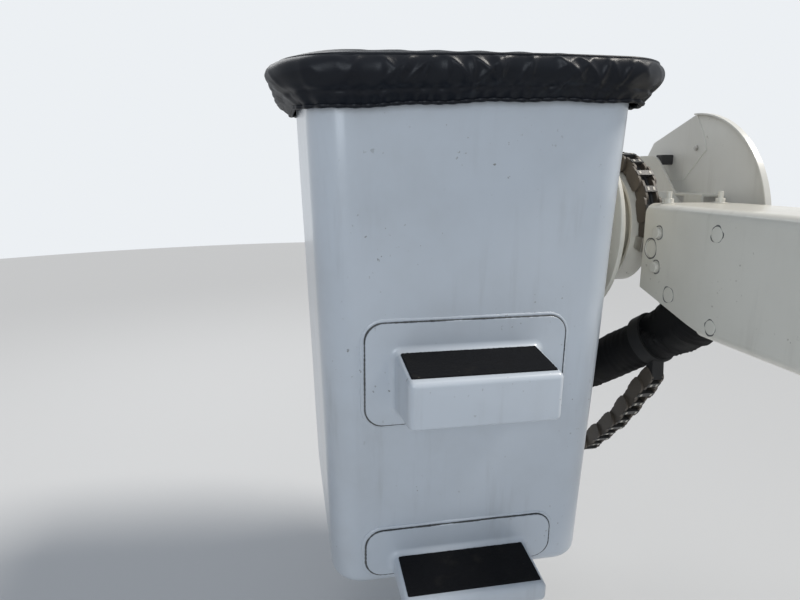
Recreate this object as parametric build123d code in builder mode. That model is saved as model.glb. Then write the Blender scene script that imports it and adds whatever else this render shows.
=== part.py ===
import math
import os

from build123d import *

os.makedirs("parts", exist_ok=True)

# Frame: origin at the centre of the boom stub's rear mouth, +X along the boom to its tip,
# +Y to the side where the bucket hangs, +Z up. All sizes in mm.
SEAT = 0.3

# Boom stub, a glass-fibre box tube whose lower front corner is cut on a slope
TUBE_L = 785.0
TUBE_W = 240.0
TUBE_H = 272.0
TUBE_WALL = 10.0
TUBE_R = 24.0
SLOPE_L = 216.0
SLOPE_RISE = 57.0

# Hub, the axis on which the bucket levels, measured from the boom's tip and middle
HUB_OUT = 205.0
HUB_Z = 66.0
SHAFT_R = 55.0
RUN_FIT = 0.05
NECK_R = 88.5
HOUSING_BACK = 73.0
HOUSING_L = 129.0
DISC_Y0 = 185.0
DISC_T = 12.0
DISC_R = 232.0
DRUM_R = 150.0
DRUM_W = 60.0
DRUM_T = 10.0
BOSS_R = 150.0
BOSS_L = 84.0
BOSS_T = 10.0

# Tip fitting and its fixings, set back from the boom's tip
ARM_H = 114.0
PLATE_T = 10.0
CHEEK_L = 150.0
CHEEK_H = 160.0
PIN_R = 22.0
PIN_BACK = 31.0
PIN_Z = 31.0
TIP_BOLT_R = 8.0
TIP_HEAD_R = 13.0
TIP_HEAD_T = 10.0
TIP_BOLT_BACK = 58.0
TIP_BOLT_DZ = 40.0
STUD_BACK = 33.0
STUD_R = 6.0
STUD_H = 28.0

# Guard behind the hub
GUARD_OUT = 24.0
GUARD_R = 297.0
GUARD_T = 4.0
GUARD_RIM = 12.0
SHELF_L = 170.0
SHELF_RISE = 29.0
SHELF_T = 6.0
BUMPER_W = 28.0
PAD_T = 2.0
WEB_Y = -97.0
WEB_T = 6.0
WEB_BACK = 3.0
WEB_SLOPE = 104.0
WEB_END = 200.0
WEB_TOP = 188.0
BUMPER_X = 100.0
BUMPER_Z = 176.0

# Energy chain: links of two side plates and two cross bars, round a core of hoses
CHAIN_H = 44.0
CHAIN_W = 46.0
CHAIN_IN = 2.0
LINK_PITCH = 46.0
LINK_LAP = 9.0
LINK_CUT = 12.0
LINK_T = 6.0
LINK_LOW = 2.0
BAR_W = 16.0
BAR_T = 8.0
CORE_H = 22.0
WRAP_START = 8.0
WRAP_END = 185.0
LOOP_DROP = 626.0

# Hose sleeve
SLEEVE_R = 58.0
CLAMP_T = 7.0
CLAMP_W = 32.0

# Bucket, measured from the hub
BUCKET_BACK = 20.0
RIM_Z = 396.0
FLOOR_Z = -695.0
TOP_HX = 383.0
TOP_HY = 328.0
BOTTOM_HX = 330.0
BOTTOM_HY = 294.0
CORNER_R = 70.0
EDGE_R = 28.0
EDGE_STEPS = 4
SKIN = 6.0
LIP_W = 14.0
LIP_T = 9.0

# Mount plate between the hub's boss and the bucket's wall
MOUNT_W = 380.0
MOUNT_H = 420.0
MOUNT_T = 12.0
BOLT_R = 6.0

# Cover: a soft cap that leans down towards +Y; its hem is higher at the back
COVER_GAP = 5.0
COVER_T = 8.0
COVER_LEAN = 0.040
HEM_FRONT = 67.0
HEM_BACK = 20.0

# Steps: heights are taken down from the box's top edge at the wall
STEP_TOP = -145.0
STEP_PITCH = 473.0
STEP_SHIFT = 12.0
STEP_OUT = 142.0
STEP_FALL = 11.0
BOX_W = 306.0
NOSE_W = 302.0
BOX_H = 127.0
NOSE_H = 97.0
FLANGE_W = 426.0
FLANGE_OVER = 61.0
FLANGE_UNDER = 159.0
FLANGE_T = 5.0
STEP_SKIN = 5.0
STEP_R = 10.0
TREAD_W = 288.0
TREAD_D = 121.0
TREAD_T = 4.0

# Upper control, on the bucket's boom-side wall
CTRL_OUT = 316.0
CTRL_Z0 = 130.0
CTRL_W = 150.0
CTRL_D = 124.0
CTRL_H = 176.0
CTRL_GAP = 24.0
LEVER_H = 170.0
LEVER_R = 16.0

# Lanyard anchor on the boom's far side
ANCHOR_BACK = 185.0
ANCHOR_Z = 60.0
ANCHOR_R = 14.0
ANCHOR_W = 90.0
ANCHOR_T = 8.0
EYE_W = 56.0
EYE_T = 10.0

hub_x = TUBE_L + HUB_OUT
bx = hub_x - BUCKET_BACK
pin_x = TUBE_L - PIN_BACK
bolt_x = TUBE_L - TIP_BOLT_BACK
stud_x = TUBE_L - STUD_BACK
housing_y0 = -HOUSING_BACK
housing_y1 = HOUSING_L - HOUSING_BACK


def save(part, name):
    part.label = name
    export_step(part, "parts/" + name + ".step")


def half_x(z):
    return BOTTOM_HX + (TOP_HX - BOTTOM_HX) * (z - FLOOR_Z) / (RIM_Z - FLOOR_Z)


def half_y(z):
    return BOTTOM_HY + (TOP_HY - BOTTOM_HY) * (z - FLOOR_Z) / (RIM_Z - FLOOR_Z)


by = DISC_Y0 + DISC_T + BOSS_L + half_y(HUB_Z)


def rounded(inset, z):
    size = (2 * (half_x(z) - inset), 2 * (half_y(z) - inset))
    return Plane.XY.offset(z) * Pos(bx, by) * RectangleRounded(*size, CORNER_R - inset)


def bucket_solid(inset, floor, top):
    """Ruled sections: a quarter round at the floor's edge in a few steps, then the straight tapered wall."""
    bend = EDGE_R - inset
    rings = []
    for k in range(EDGE_STEPS + 1):
        turn = math.radians(90 * k / EDGE_STEPS)
        rings.append(rounded(inset + bend * (1 - math.sin(turn)), floor + bend * (1 - math.cos(turn))))
    rings.append(rounded(inset, top))
    return loft(rings, ruled=True)


# The bucket's outer form as one solid, for everything that lies against its walls
bucket_form = bucket_solid(0, FLOOR_Z, RIM_Z)
bucket_hollow = bucket_solid(SKIN, FLOOR_Z + SKIN + 2, RIM_Z + 1)

# Planes on the bucket's front wall (towards the boom's base) and its boom-side wall, facing outwards
front_slope = math.atan((TOP_HX - BOTTOM_HX) / (RIM_Z - FLOOR_Z))
side_slope = math.atan((TOP_HY - BOTTOM_HY) / (RIM_Z - FLOOR_Z))
FRONT = Plane(
    origin=(bx - half_x(0), by, 0),
    x_dir=(0, -1, 0),
    z_dir=(-math.cos(front_slope), 0, -math.sin(front_slope)),
)
SIDE = Plane(
    origin=(hub_x, by - half_y(0), 0),
    x_dir=(1, 0, 0),
    z_dir=(0, -math.cos(side_slope), -math.sin(side_slope)),
)

# Boom tube, open at the slope for the hoses
slope_z = 12 - TUBE_H / 2
with BuildPart() as boom_tube:
    with BuildSketch(Plane.YZ):
        RectangleRounded(TUBE_W, TUBE_H, TUBE_R)
        RectangleRounded(TUBE_W - 2 * TUBE_WALL, TUBE_H - 2 * TUBE_WALL, TUBE_R - TUBE_WALL, mode=Mode.SUBTRACT)
    extrude(amount=TUBE_L)
    with BuildSketch(Plane.XZ):
        with BuildLine():
            Polyline(
                (TUBE_L - SLOPE_L - 12, -TUBE_H),
                (TUBE_L - SLOPE_L, slope_z),
                (TUBE_L, slope_z + SLOPE_RISE),
                (TUBE_L + 5, slope_z + SLOPE_RISE),
                (TUBE_L + 5, -TUBE_H),
                close=True,
            )
        make_face()
    extrude(amount=TUBE_W, both=True, mode=Mode.SUBTRACT)
    with Locations((pin_x, 0, PIN_Z)):
        Cylinder(PIN_R + SEAT, TUBE_W + 2, rotation=(90, 0, 0), mode=Mode.SUBTRACT)
    with Locations(*[(bolt_x, 0, PIN_Z + k * TIP_BOLT_DZ) for k in (-1, 1)]):
        Cylinder(TIP_BOLT_R + SEAT, TUBE_W + 2, rotation=(90, 0, 0), mode=Mode.SUBTRACT)
save(boom_tube.part, "boom_tube")

# Tip fitting: cheeks inside the tube, an end plate, an arm and the hub's housing
inner_y = TUBE_W / 2 - TUBE_WALL
housing_y = (housing_y0 + housing_y1) / 2
arm_l = hub_x - TUBE_L + PLATE_T
with BuildPart() as tip_fitting:
    for side in (-1, 1):
        with Locations((TUBE_L - CHEEK_L / 2, side * (inner_y - PLATE_T / 2), PIN_Z)):
            Box(CHEEK_L, PLATE_T, CHEEK_H)
    with Locations((TUBE_L - PLATE_T / 2, 0, PIN_Z)):
        Box(PLATE_T, 2 * inner_y, CHEEK_H)
    with Locations((hub_x - arm_l / 2, housing_y, HUB_Z)):
        Box(arm_l, HOUSING_L, ARM_H)
    with Locations((hub_x, housing_y, HUB_Z)):
        Cylinder(NECK_R, HOUSING_L, rotation=(90, 0, 0))
        Cylinder(SHAFT_R + RUN_FIT, HOUSING_L + 2, rotation=(90, 0, 0), mode=Mode.SUBTRACT)
    with Locations((pin_x, 0, PIN_Z)):
        Cylinder(PIN_R + SEAT, TUBE_W + 2, rotation=(90, 0, 0), mode=Mode.SUBTRACT)
    with Locations(*[(bolt_x, 0, PIN_Z + k * TIP_BOLT_DZ) for k in (-1, 1)]):
        Cylinder(TIP_BOLT_R + SEAT, TUBE_W + 2, rotation=(90, 0, 0), mode=Mode.SUBTRACT)
save(tip_fitting.part, "tip_fitting")

with BuildPart() as tip_pin:
    with Locations((pin_x, 0, PIN_Z)):
        Cylinder(PIN_R, TUBE_W - 6, rotation=(90, 0, 0))
save(tip_pin.part, "tip_pin")

with BuildPart() as tip_bolts:
    for k in (-1, 1):
        with Locations((bolt_x, 0, PIN_Z + k * TIP_BOLT_DZ)):
            Cylinder(TIP_BOLT_R, TUBE_W + 4, rotation=(90, 0, 0))
        head_y = (TUBE_W + TIP_HEAD_T) / 2
        with Locations(*[(bolt_x, side * head_y, PIN_Z + k * TIP_BOLT_DZ) for side in (-1, 1)]):
            Cylinder(TIP_HEAD_R, TIP_HEAD_T, rotation=(90, 0, 0))
save(tip_bolts.part, "tip_bolts")

# Studs with nuts on top of the tube
with BuildPart() as top_studs:
    for y in (0.35 * TUBE_W, -0.217 * TUBE_W):
        with Locations((stud_x, y, (TUBE_H + STUD_H) / 2)):
            Cylinder(STUD_R, STUD_H)
        with Locations((stud_x, y, TUBE_H / 2 + STUD_R)):
            Cylinder(1.8 * STUD_R, 2 * STUD_R)
        with Locations((stud_x, y, TUBE_H / 2 + 1)):
            Cylinder(2.7 * STUD_R, 2)
save(top_studs.part, "top_studs")

# Guard on the far side: a thin shell with a rim, columns are x and z from the hub in guard radii
guard_y = -TUBE_W / 2 - GUARD_OUT
GUARD_EDGE = [(0.0, -1.0), (0.54, -0.73), (0.75, -0.42), (0.75, 0.62), (0.643, 0.764), (0.0, 1.0)]
GUARD_PAD = [(0.0, 0.99), (-0.128, 0.787), (-0.165, 0.67), (0.114, 0.404), (0.735, 0.404), (0.735, 0.62), (0.635, 0.755)]
with BuildPart() as guard_shell:
    with BuildSketch(Plane.XZ.offset(-guard_y)):
        with BuildLine():
            ThreePointArc((hub_x, HUB_Z + GUARD_R), (hub_x - GUARD_R, HUB_Z), (hub_x, HUB_Z - GUARD_R))
            Polyline(*[(hub_x + x * GUARD_R, HUB_Z + z * GUARD_R) for x, z in GUARD_EDGE])
        make_face()
    extrude(amount=GUARD_T)
    with BuildSketch(Plane.XZ.offset(-guard_y)):
        with Locations((hub_x, HUB_Z)):
            Circle(GUARD_R)
            Circle(GUARD_R - GUARD_T, mode=Mode.SUBTRACT)
        with Locations((hub_x + GUARD_R, HUB_Z)):
            Rectangle(2 * GUARD_R, 3 * GUARD_R, mode=Mode.SUBTRACT)
    extrude(amount=-GUARD_RIM)
    with BuildSketch(Plane.XZ.offset(-guard_y)):
        with BuildLine():
            Polyline(*[(hub_x + x * GUARD_R, HUB_Z + z * GUARD_R) for x, z in GUARD_PAD], close=True)
        make_face()
    extrude(amount=-PAD_T)
save(guard_shell.part, "guard_shell")

# Bracket: an angle on the arm's side that reaches to the guard, and a rounded web that stands on it
arm_top = HUB_Z + ARM_H / 2
shelf_x = TUBE_L + 0.93 * SHELF_L
web_foot = arm_top + SHELF_RISE - SHELF_T
web_top = HUB_Z + WEB_TOP
with BuildPart() as guard_bracket:
    with Locations((shelf_x - 0.36 * SHELF_L, housing_y0 - SHELF_T / 2, arm_top)):
        Box(0.42 * SHELF_L, SHELF_T, 2 * SHELF_RISE)
    with Locations((shelf_x, (guard_y + housing_y0) / 2, arm_top + SHELF_RISE - SHELF_T / 2)):
        Box(SHELF_L, housing_y0 - guard_y, SHELF_T)
    with BuildSketch(Plane.XZ.offset(-WEB_Y)):
        with BuildLine():
            FilletPolyline(
                (hub_x - WEB_BACK, web_foot),
                (hub_x + WEB_SLOPE, web_top),
                (hub_x + WEB_END, web_top),
                (hub_x + WEB_END, web_foot),
                radius=(2, 55, 20, 5),
                close=True,
            )
        make_face()
    extrude(amount=WEB_T)
save(guard_bracket.part, "guard_bracket")

bumper_y0 = guard_y + PAD_T
bumper_l = WEB_Y - WEB_T - bumper_y0
with BuildPart() as guard_bumper:
    with Locations((hub_x + BUMPER_X, bumper_y0 + bumper_l / 2, HUB_Z + BUMPER_Z)):
        Box(BUMPER_W, bumper_l, BUMPER_W)
save(guard_bumper.part, "guard_bumper")

# Hub shaft, chain drum and the flange on the bucket's side
with BuildPart() as hub_shaft:
    with Locations((hub_x, (housing_y0 - 6 + DISC_Y0) / 2, HUB_Z)):
        Cylinder(SHAFT_R, DISC_Y0 - housing_y0 + 6, rotation=(90, 0, 0))
    with Locations((hub_x, housing_y0 - 6, HUB_Z)):
        Cylinder(1.3 * SHAFT_R, 10, rotation=(90, 0, 0))
        Cylinder(SHAFT_R / 2, 2 * (DISC_Y0 - housing_y0), rotation=(90, 0, 0), mode=Mode.SUBTRACT)
save(hub_shaft.part, "hub_shaft")

neck_y0 = housing_y1 + 1
drum_y0 = neck_y0 + 3
with BuildPart() as chain_drum:
    with Locations((hub_x, (neck_y0 + DISC_Y0) / 2, HUB_Z)):
        Cylinder(NECK_R, DISC_Y0 - neck_y0, rotation=(90, 0, 0))
    with Locations((hub_x, drum_y0 + DRUM_W / 2, HUB_Z)):
        Cylinder(DRUM_R, DRUM_W, rotation=(90, 0, 0))
    with BuildSketch(Plane.XZ.offset(-drum_y0 - DRUM_T)):
        with Locations((hub_x, HUB_Z)):
            Circle(DRUM_R - DRUM_T)
            Circle(NECK_R, mode=Mode.SUBTRACT)
    extrude(amount=-DRUM_W, mode=Mode.SUBTRACT)
    with Locations((hub_x, (neck_y0 + DISC_Y0) / 2, HUB_Z)):
        Cylinder(SHAFT_R, DISC_Y0 - neck_y0 + 2, rotation=(90, 0, 0), mode=Mode.SUBTRACT)
save(chain_drum.part, "chain_drum")

with BuildPart() as disc_flange:
    with Locations((hub_x, DISC_Y0 + DISC_T / 2, HUB_Z)):
        Cylinder(DISC_R, DISC_T, rotation=(90, 0, 0))
save(disc_flange.part, "disc_flange")

# Bucket mount: a hollow boss from the flange to a plate that lies on the bucket's wall.
# Bolt columns are x and z from the hub, in half plate widths and heights
MOUNT_BOLTS = [(-0.87, -0.88), (-0.87, 0), (-0.87, 0.88), (0, -0.88), (0, 0.88), (0.87, -0.88), (0.87, 0), (0.87, 0.88)]
mount_spots = [(x * MOUNT_W / 2, HUB_Z + z * MOUNT_H / 2) for x, z in MOUNT_BOLTS]
with BuildPart() as bucket_mount:
    with BuildSketch(Plane.XZ.offset(-DISC_Y0 - DISC_T)):
        with Locations((hub_x, HUB_Z)):
            Circle(BOSS_R)
            Circle(BOSS_R - BOSS_T, mode=Mode.SUBTRACT)
    extrude(amount=-2 * BOSS_L)
    with BuildSketch(SIDE):
        with Locations((0, HUB_Z)):
            RectangleRounded(MOUNT_W, MOUNT_H, 30)
    extrude(amount=MOUNT_T)
    add(bucket_form, mode=Mode.SUBTRACT)
    with BuildSketch(SIDE.offset(-1)):
        with Locations(*mount_spots):
            Circle(BOLT_R + SEAT)
    extrude(amount=MOUNT_T + 2, mode=Mode.SUBTRACT)
save(bucket_mount.part, "bucket_mount")

with BuildPart() as mount_bolts:
    with BuildSketch(SIDE.offset(MOUNT_T)):
        with Locations(*mount_spots):
            RegularPolygon(2 * BOLT_R, 6)
    extrude(amount=8)
    with BuildSketch(SIDE.offset(0.5)):
        with Locations(*mount_spots):
            Circle(BOLT_R)
    extrude(amount=MOUNT_T)
save(mount_bolts.part, "mount_bolts")

# Bucket: a tapered moulded shell, open at the top, with a lip
with BuildPart() as bucket_shell:
    add(bucket_form)
    with BuildSketch(Plane.XY.offset(RIM_Z - LIP_T)):
        with Locations((bx, by)):
            RectangleRounded(2 * (TOP_HX + LIP_W), 2 * (TOP_HY + LIP_W), CORNER_R + LIP_W)
    extrude(amount=LIP_T)
    add(bucket_hollow, mode=Mode.SUBTRACT)
save(bucket_shell.part, "bucket_shell")

# Steps: hollow mouldings bonded to the front wall, with a gritty tread on top
for name, top in (("upper", STEP_TOP), ("lower", STEP_TOP - STEP_PITCH)):
    nose_top = top - STEP_FALL
    foot = max(top - BOX_H, FLOOR_Z + EDGE_R)
    nose_foot = max(nose_top - NOSE_H, FLOOR_Z + EDGE_R / 2)
    flange_top = top + FLANGE_OVER
    flange_foot = max(top - FLANGE_UNDER, FLOOR_Z + EDGE_R)
    with BuildPart() as step:
        with BuildSketch(FRONT):
            with Locations((-STEP_SHIFT, (flange_top + flange_foot) / 2)):
                RectangleRounded(FLANGE_W, flange_top - flange_foot, 38)
        extrude(amount=FLANGE_T)
        for inset, mode in ((0, Mode.ADD), (STEP_SKIN, Mode.SUBTRACT)):
            with BuildSketch(FRONT.offset(-inset)):
                with Locations((-STEP_SHIFT, (top + foot) / 2)):
                    RectangleRounded(BOX_W - 2 * inset, top - foot - 2 * inset, STEP_R - inset)
            with BuildSketch(FRONT.offset(STEP_OUT - inset)):
                with Locations((-STEP_SHIFT, (nose_top + nose_foot) / 2)):
                    RectangleRounded(NOSE_W - 2 * inset, nose_top - nose_foot - 2 * inset, STEP_R - inset)
            loft(ruled=True, mode=mode)
    save(step.part, "step_" + name)
    tread_y0 = by + STEP_SHIFT - TREAD_W / 2
    tread_edge = []
    for d, over in ((1, 0), (1, TREAD_T), (TREAD_D, TREAD_T), (TREAD_D, 0)):
        out = FLANGE_T + d
        corner = FRONT.from_local_coords((0, top - STEP_FALL * out / STEP_OUT + over, out))
        tread_edge.append((corner.X, corner.Z))
    with BuildPart() as tread:
        with BuildSketch(Plane.XZ.offset(-tread_y0)):
            with BuildLine():
                Polyline(*tread_edge, close=True)
            make_face()
        extrude(amount=-TREAD_W)
    save(tread.part, "tread_" + name)

# Cover: rounded sections from the hem to the crown, most of them on planes that lean down towards +Y.
# Columns are the height above the rim, how far the section stands out of the bucket's top, its shift to +Y and
# its lean
hem_out = LIP_W + COVER_GAP + COVER_T
hem_in = LIP_W + COVER_GAP
COVER_RINGS = [
    (-100.0, hem_out, 0.0, COVER_LEAN),
    (-62.0, hem_out, 0.0, COVER_LEAN),
    (-27.0, 63.0, 24.0, COVER_LEAN),
    (3.0, 57.0, 13.0, COVER_LEAN),
    (12.0, 10.0, 8.0, COVER_LEAN / 4),
    (20.0, -60.0, 5.0, 0.0),
    (25.0, -200.0, 0.0, 0.0),
]


def cover_form(sections, inset):
    rings = []
    for up, out, shift, lean in sections:
        level = Plane(origin=(bx, by + shift, RIM_Z + up), x_dir=(1, 0, 0), z_dir=(0, lean, 1))
        size = out - inset
        rings.append(level * RectangleRounded(2 * (TOP_HX + size), 2 * (TOP_HY + size), CORNER_R + max(size, -CORNER_R / 2)))
    return loft(rings, ruled=True)


hem_plane = Plane(
    origin=(bx - TOP_HX, by, RIM_Z - HEM_FRONT),
    z_dir=(-(HEM_FRONT - HEM_BACK) / (2 * TOP_HX), COVER_LEAN, 1),
)
cover_solid = cover_form(COVER_RINGS, 0)
cover_hollow = cover_form(COVER_RINGS[:4], COVER_T)
with BuildPart() as cover_space:
    add(cover_hollow)
    split(bisect_by=Plane.XY.offset(RIM_Z + SEAT), keep=Keep.BOTTOM)
with BuildPart() as bucket_cover:
    add(cover_solid)
    add(cover_space.part, mode=Mode.SUBTRACT)
    with BuildSketch(Plane.XY.offset(RIM_Z + SEAT)):
        with Locations((bx, by)):
            RectangleRounded(2 * (TOP_HX + hem_in), 2 * (TOP_HY + hem_in), CORNER_R + hem_in)
    extrude(amount=-2 * HEM_FRONT, mode=Mode.SUBTRACT)
    split(bisect_by=hem_plane, keep=Keep.TOP)
save(bucket_cover.part, "bucket_cover")

# Energy chain: the wrap that rides on the drum, the hanging loop, and the end fitting
chain_y0 = drum_y0 + CHAIN_IN
wrap_r0 = DRUM_R + SEAT
wrap_r1 = wrap_r0 + CHAIN_H
wrap_rc = (wrap_r0 + wrap_r1) / 2


def at(angle, r):
    return (hub_x + r * math.cos(math.radians(angle)), HUB_Z + r * math.sin(math.radians(angle)))


# The loop's centre line leaves the wrap on its tangent, hangs round under the hub and rises to the anchor.
# Columns are x and z from the hub, and the bend's radius
leave = math.radians(WRAP_START)
LOOP = [
    (wrap_rc * math.cos(leave), wrap_rc * math.sin(leave), 0),
    (wrap_rc * math.cos(leave) + LOOP_DROP * math.sin(leave), wrap_rc * math.sin(leave) - LOOP_DROP * math.cos(leave), 160),
    (110, -726, 115),
    (-107, -518, 400),
    (-245, -345, 0),
]
loop_spots = [(hub_x + x, HUB_Z + z) for x, z, _ in LOOP]
with BuildLine() as loop_line:
    FilletPolyline(*loop_spots, radius=[r for _, _, r in LOOP[1:-1]])
loop_path = loop_line.wire()


def heading(a, b):
    return math.degrees(math.atan2(b[1] - a[1], b[0] - a[0]))


# Each place is a link's middle on the centre line and its heading; each end is where the chain is cut off square
wrap_count = round(math.radians(WRAP_END - WRAP_START) * wrap_rc / LINK_PITCH)
wrap_step = (WRAP_END - WRAP_START) / wrap_count
wrap_places = []
for k in range(wrap_count):
    angle = WRAP_START + (k + 0.5) * wrap_step
    wrap_places.append(Location((*at(angle, wrap_rc), 0), (0, 0, angle + 90)))
loop_count = round(loop_path.length / LINK_PITCH)
loop_places = []
for k in range(loop_count):
    spot = loop_path.position_at((k + 0.5) / loop_count)
    way = loop_path.tangent_at((k + 0.5) / loop_count)
    loop_places.append(Location((spot.X, spot.Y, 0), (0, 0, heading((0, 0), (way.X, way.Y)))))
wrap_ends = [
    Location((*at(WRAP_START, wrap_rc), 0), (0, 0, WRAP_START - 90)),
    Location((*at(WRAP_END, wrap_rc), 0), (0, 0, WRAP_END + 90)),
]
loop_ends = [
    Location((*loop_spots[0], 0), (0, 0, heading(loop_spots[1], loop_spots[0]))),
    Location((*loop_spots[-1], 0), (0, 0, heading(loop_spots[-2], loop_spots[-1]))),
]

plate_l = LINK_PITCH / 2 + LINK_LAP
plate_h = CHAIN_H / 2 - LINK_LOW
LINK_PLATE = []
for sx, sy in ((1, 1), (-1, 1), (-1, -1), (1, -1)):
    cut = [(sx * plate_l, sy * (plate_h - LINK_CUT)), (sx * (plate_l - LINK_CUT), sy * plate_h)]
    LINK_PLATE += cut if sx == sy else cut[::-1]


def bar(side):
    v0 = side * CHAIN_H / 2
    v1 = side * (CHAIN_H / 2 - BAR_T)
    return [(-BAR_W / 2, v0), (BAR_W / 2, v0), (BAR_W / 2, v1), (-BAR_W / 2, v1)]


def link_layers(places):
    """Rows of places, outline, y of the near face, and width: every second link has its plates one layer in."""
    rows = []
    for start, inset in ((0, 0), (1, LINK_T)):
        rows.append((places[start::2], LINK_PLATE, chain_y0 + inset, LINK_T))
        rows.append((places[start::2], LINK_PLATE, chain_y0 + CHAIN_W - inset - LINK_T, LINK_T))
        for side in (-1, 1):
            rows.append((places[start::2], bar(side), chain_y0 + inset + LINK_T, CHAIN_W - 2 * (inset + LINK_T)))
    return rows


for name, places, ends in (("chain_wrap", wrap_places, wrap_ends), ("chain_loop", loop_places, loop_ends)):
    with BuildPart() as chain:
        with BuildSketch(Plane.XZ.offset(-chain_y0 - LINK_T)):
            with BuildLine():
                if name == "chain_loop":
                    FilletPolyline(*loop_spots, radius=[r for _, _, r in LOOP[1:-1]])
                else:
                    ThreePointArc(*[at(a, wrap_rc) for a in (WRAP_START, 90, WRAP_END)])
            trace(line_width=CORE_H)
        extrude(amount=2 * LINK_T - CHAIN_W)
        for spots, outline, y0, width in link_layers(places):
            with BuildSketch(Plane.XZ.offset(-y0)):
                with Locations(*spots):
                    Polygon(*outline, align=None)
            extrude(amount=-width)
        with BuildSketch(Plane.XZ.offset(-chain_y0 + 1)):
            with Locations(*ends):
                Rectangle(3 * LINK_LAP, 2 * CHAIN_H, align=(Align.MIN, Align.CENTER))
        extrude(amount=-CHAIN_W - 2, mode=Mode.SUBTRACT)
    save(chain.part, name)

end_r1 = wrap_r1 - CHAIN_H / 4
end_a0 = WRAP_END + 0.2
end_a1 = WRAP_END + 12
with BuildPart() as chain_end:
    with BuildSketch(Plane.XZ.offset(-chain_y0)):
        with BuildLine():
            ThreePointArc(at(end_a0, wrap_r0), at(WRAP_END + 6, wrap_r0), at(end_a1, wrap_r0))
            Line(at(end_a1, wrap_r0), at(end_a1, end_r1))
            ThreePointArc(at(end_a1, end_r1), at(WRAP_END + 6, end_r1), at(end_a0, end_r1))
            Line(at(end_a0, end_r1), at(end_a0, wrap_r0))
        make_face()
    extrude(amount=-CHAIN_W)
save(chain_end.part, "chain_end")

# Upper control, on the bucket's boom-side wall
ctrl_x = hub_x + CTRL_OUT
ctrl_y = by - half_y(CTRL_Z0 + CTRL_H) - CTRL_GAP - CTRL_D / 2
ctrl_z = CTRL_Z0 + CTRL_H / 2
ctrl_top = CTRL_Z0 + CTRL_H
with BuildPart() as control_box:
    with Locations((ctrl_x, ctrl_y, ctrl_z)):
        Box(CTRL_W, CTRL_D, CTRL_H)
    fillet(control_box.edges().filter_by(Axis.Z), 14)
save(control_box.part, "control_box")

with BuildPart() as control_bracket:
    with BuildSketch(Plane.XZ.offset(-ctrl_y - CTRL_D / 2)):
        with Locations((ctrl_x, ctrl_z)):
            Rectangle(0.8 * CTRL_W, 0.85 * CTRL_H)
    extrude(amount=-4 * CTRL_GAP)
    add(bucket_form, mode=Mode.SUBTRACT)
save(control_bracket.part, "control_bracket")

with BuildPart() as control_lever:
    with Locations((ctrl_x, ctrl_y - CTRL_D / 6, ctrl_top + LEVER_R / 2)):
        Cone(1.75 * LEVER_R, 1.1 * LEVER_R, LEVER_R)
    with Locations((ctrl_x, ctrl_y - CTRL_D / 6, ctrl_top + LEVER_H / 2)):
        Cylinder(LEVER_R / 2, LEVER_H)
    with Locations((ctrl_x, ctrl_y - CTRL_D / 6, ctrl_top + LEVER_H)):
        Cylinder(LEVER_R, 4 * LEVER_R)
save(control_lever.part, "control_lever")

# Hose sleeve: both ends are held, so its bends are as wide as its way round the chain and the disc allows.
# Columns are x, y and z of each corner of its centre line, and the bend's radius
sleeve_z = TUBE_WALL + SLEEVE_R + SEAT - TUBE_H / 2
ctrl_back = ctrl_x - 7
SLEEVE = [
    (10, 48, sleeve_z, 0),
    (TUBE_L - 185, 48, sleeve_z, 100),
    (TUBE_L - 70, 50, sleeve_z - 85, 250),
    (hub_x + 50, ctrl_y, sleeve_z - 326, 225),
    (ctrl_back, ctrl_y, sleeve_z - 205, 228),
    (ctrl_back, ctrl_y, CTRL_Z0, 0),
]
sleeve_spots = [Vector(x, y, z) for x, y, z, _ in SLEEVE]
with BuildPart() as hose_sleeve:
    with BuildLine() as sleeve_line:
        FilletPolyline(*sleeve_spots, radius=[r for _, _, _, r in SLEEVE[1:-1]])
    with BuildSketch(sleeve_line.line ^ 0):
        Circle(SLEEVE_R)
    sweep()
print("sleeve length", round(sleeve_line.wire().length, 1))
save(hose_sleeve.part, "hose_sleeve")

# Clamp round the sleeve that holds the chain's fixed end by a lug
clamp_dir = (sleeve_spots[3] - sleeve_spots[2]).normalized()
clamp_at = sleeve_spots[2] + clamp_dir * 2.7 * CLAMP_W
clamp_down = Vector(clamp_dir.Z, -clamp_dir.X).normalized()
clamp_run = Vector(-clamp_down.Y, clamp_down.X)
lug_foot = Vector(clamp_at.X, clamp_at.Z) + clamp_down * (SLEEVE_R + CLAMP_T / 2)
chain_run = (Vector(*loop_spots[-1]) - Vector(*loop_spots[-2])).normalized()
chain_rise = Vector(-chain_run.Y, chain_run.X) * (CHAIN_H / 2 - LINK_LOW)
lug_head = Vector(*loop_spots[-1]) + chain_run * SEAT
with BuildPart() as chain_anchor:
    with BuildSketch(Plane(origin=clamp_at, z_dir=clamp_dir)):
        Circle(SLEEVE_R + CLAMP_T)
    extrude(amount=CLAMP_W / 2, both=True)
    with BuildSketch(Plane.XZ.offset(-chain_y0 - CHAIN_W / 6)):
        with BuildLine():
            Polyline(
                lug_foot - clamp_run * CLAMP_W * 0.4,
                lug_foot + clamp_run * CLAMP_W * 0.4,
                lug_head - chain_rise,
                lug_head + chain_rise,
                close=True,
            )
        make_face()
    extrude(amount=-CHAIN_W * 2 / 3)
    with BuildSketch(Plane(origin=clamp_at, z_dir=clamp_dir)):
        Circle(SLEEVE_R + SEAT)
    extrude(amount=3 * CLAMP_W, both=True, mode=Mode.SUBTRACT)
save(chain_anchor.part, "chain_anchor")

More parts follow.
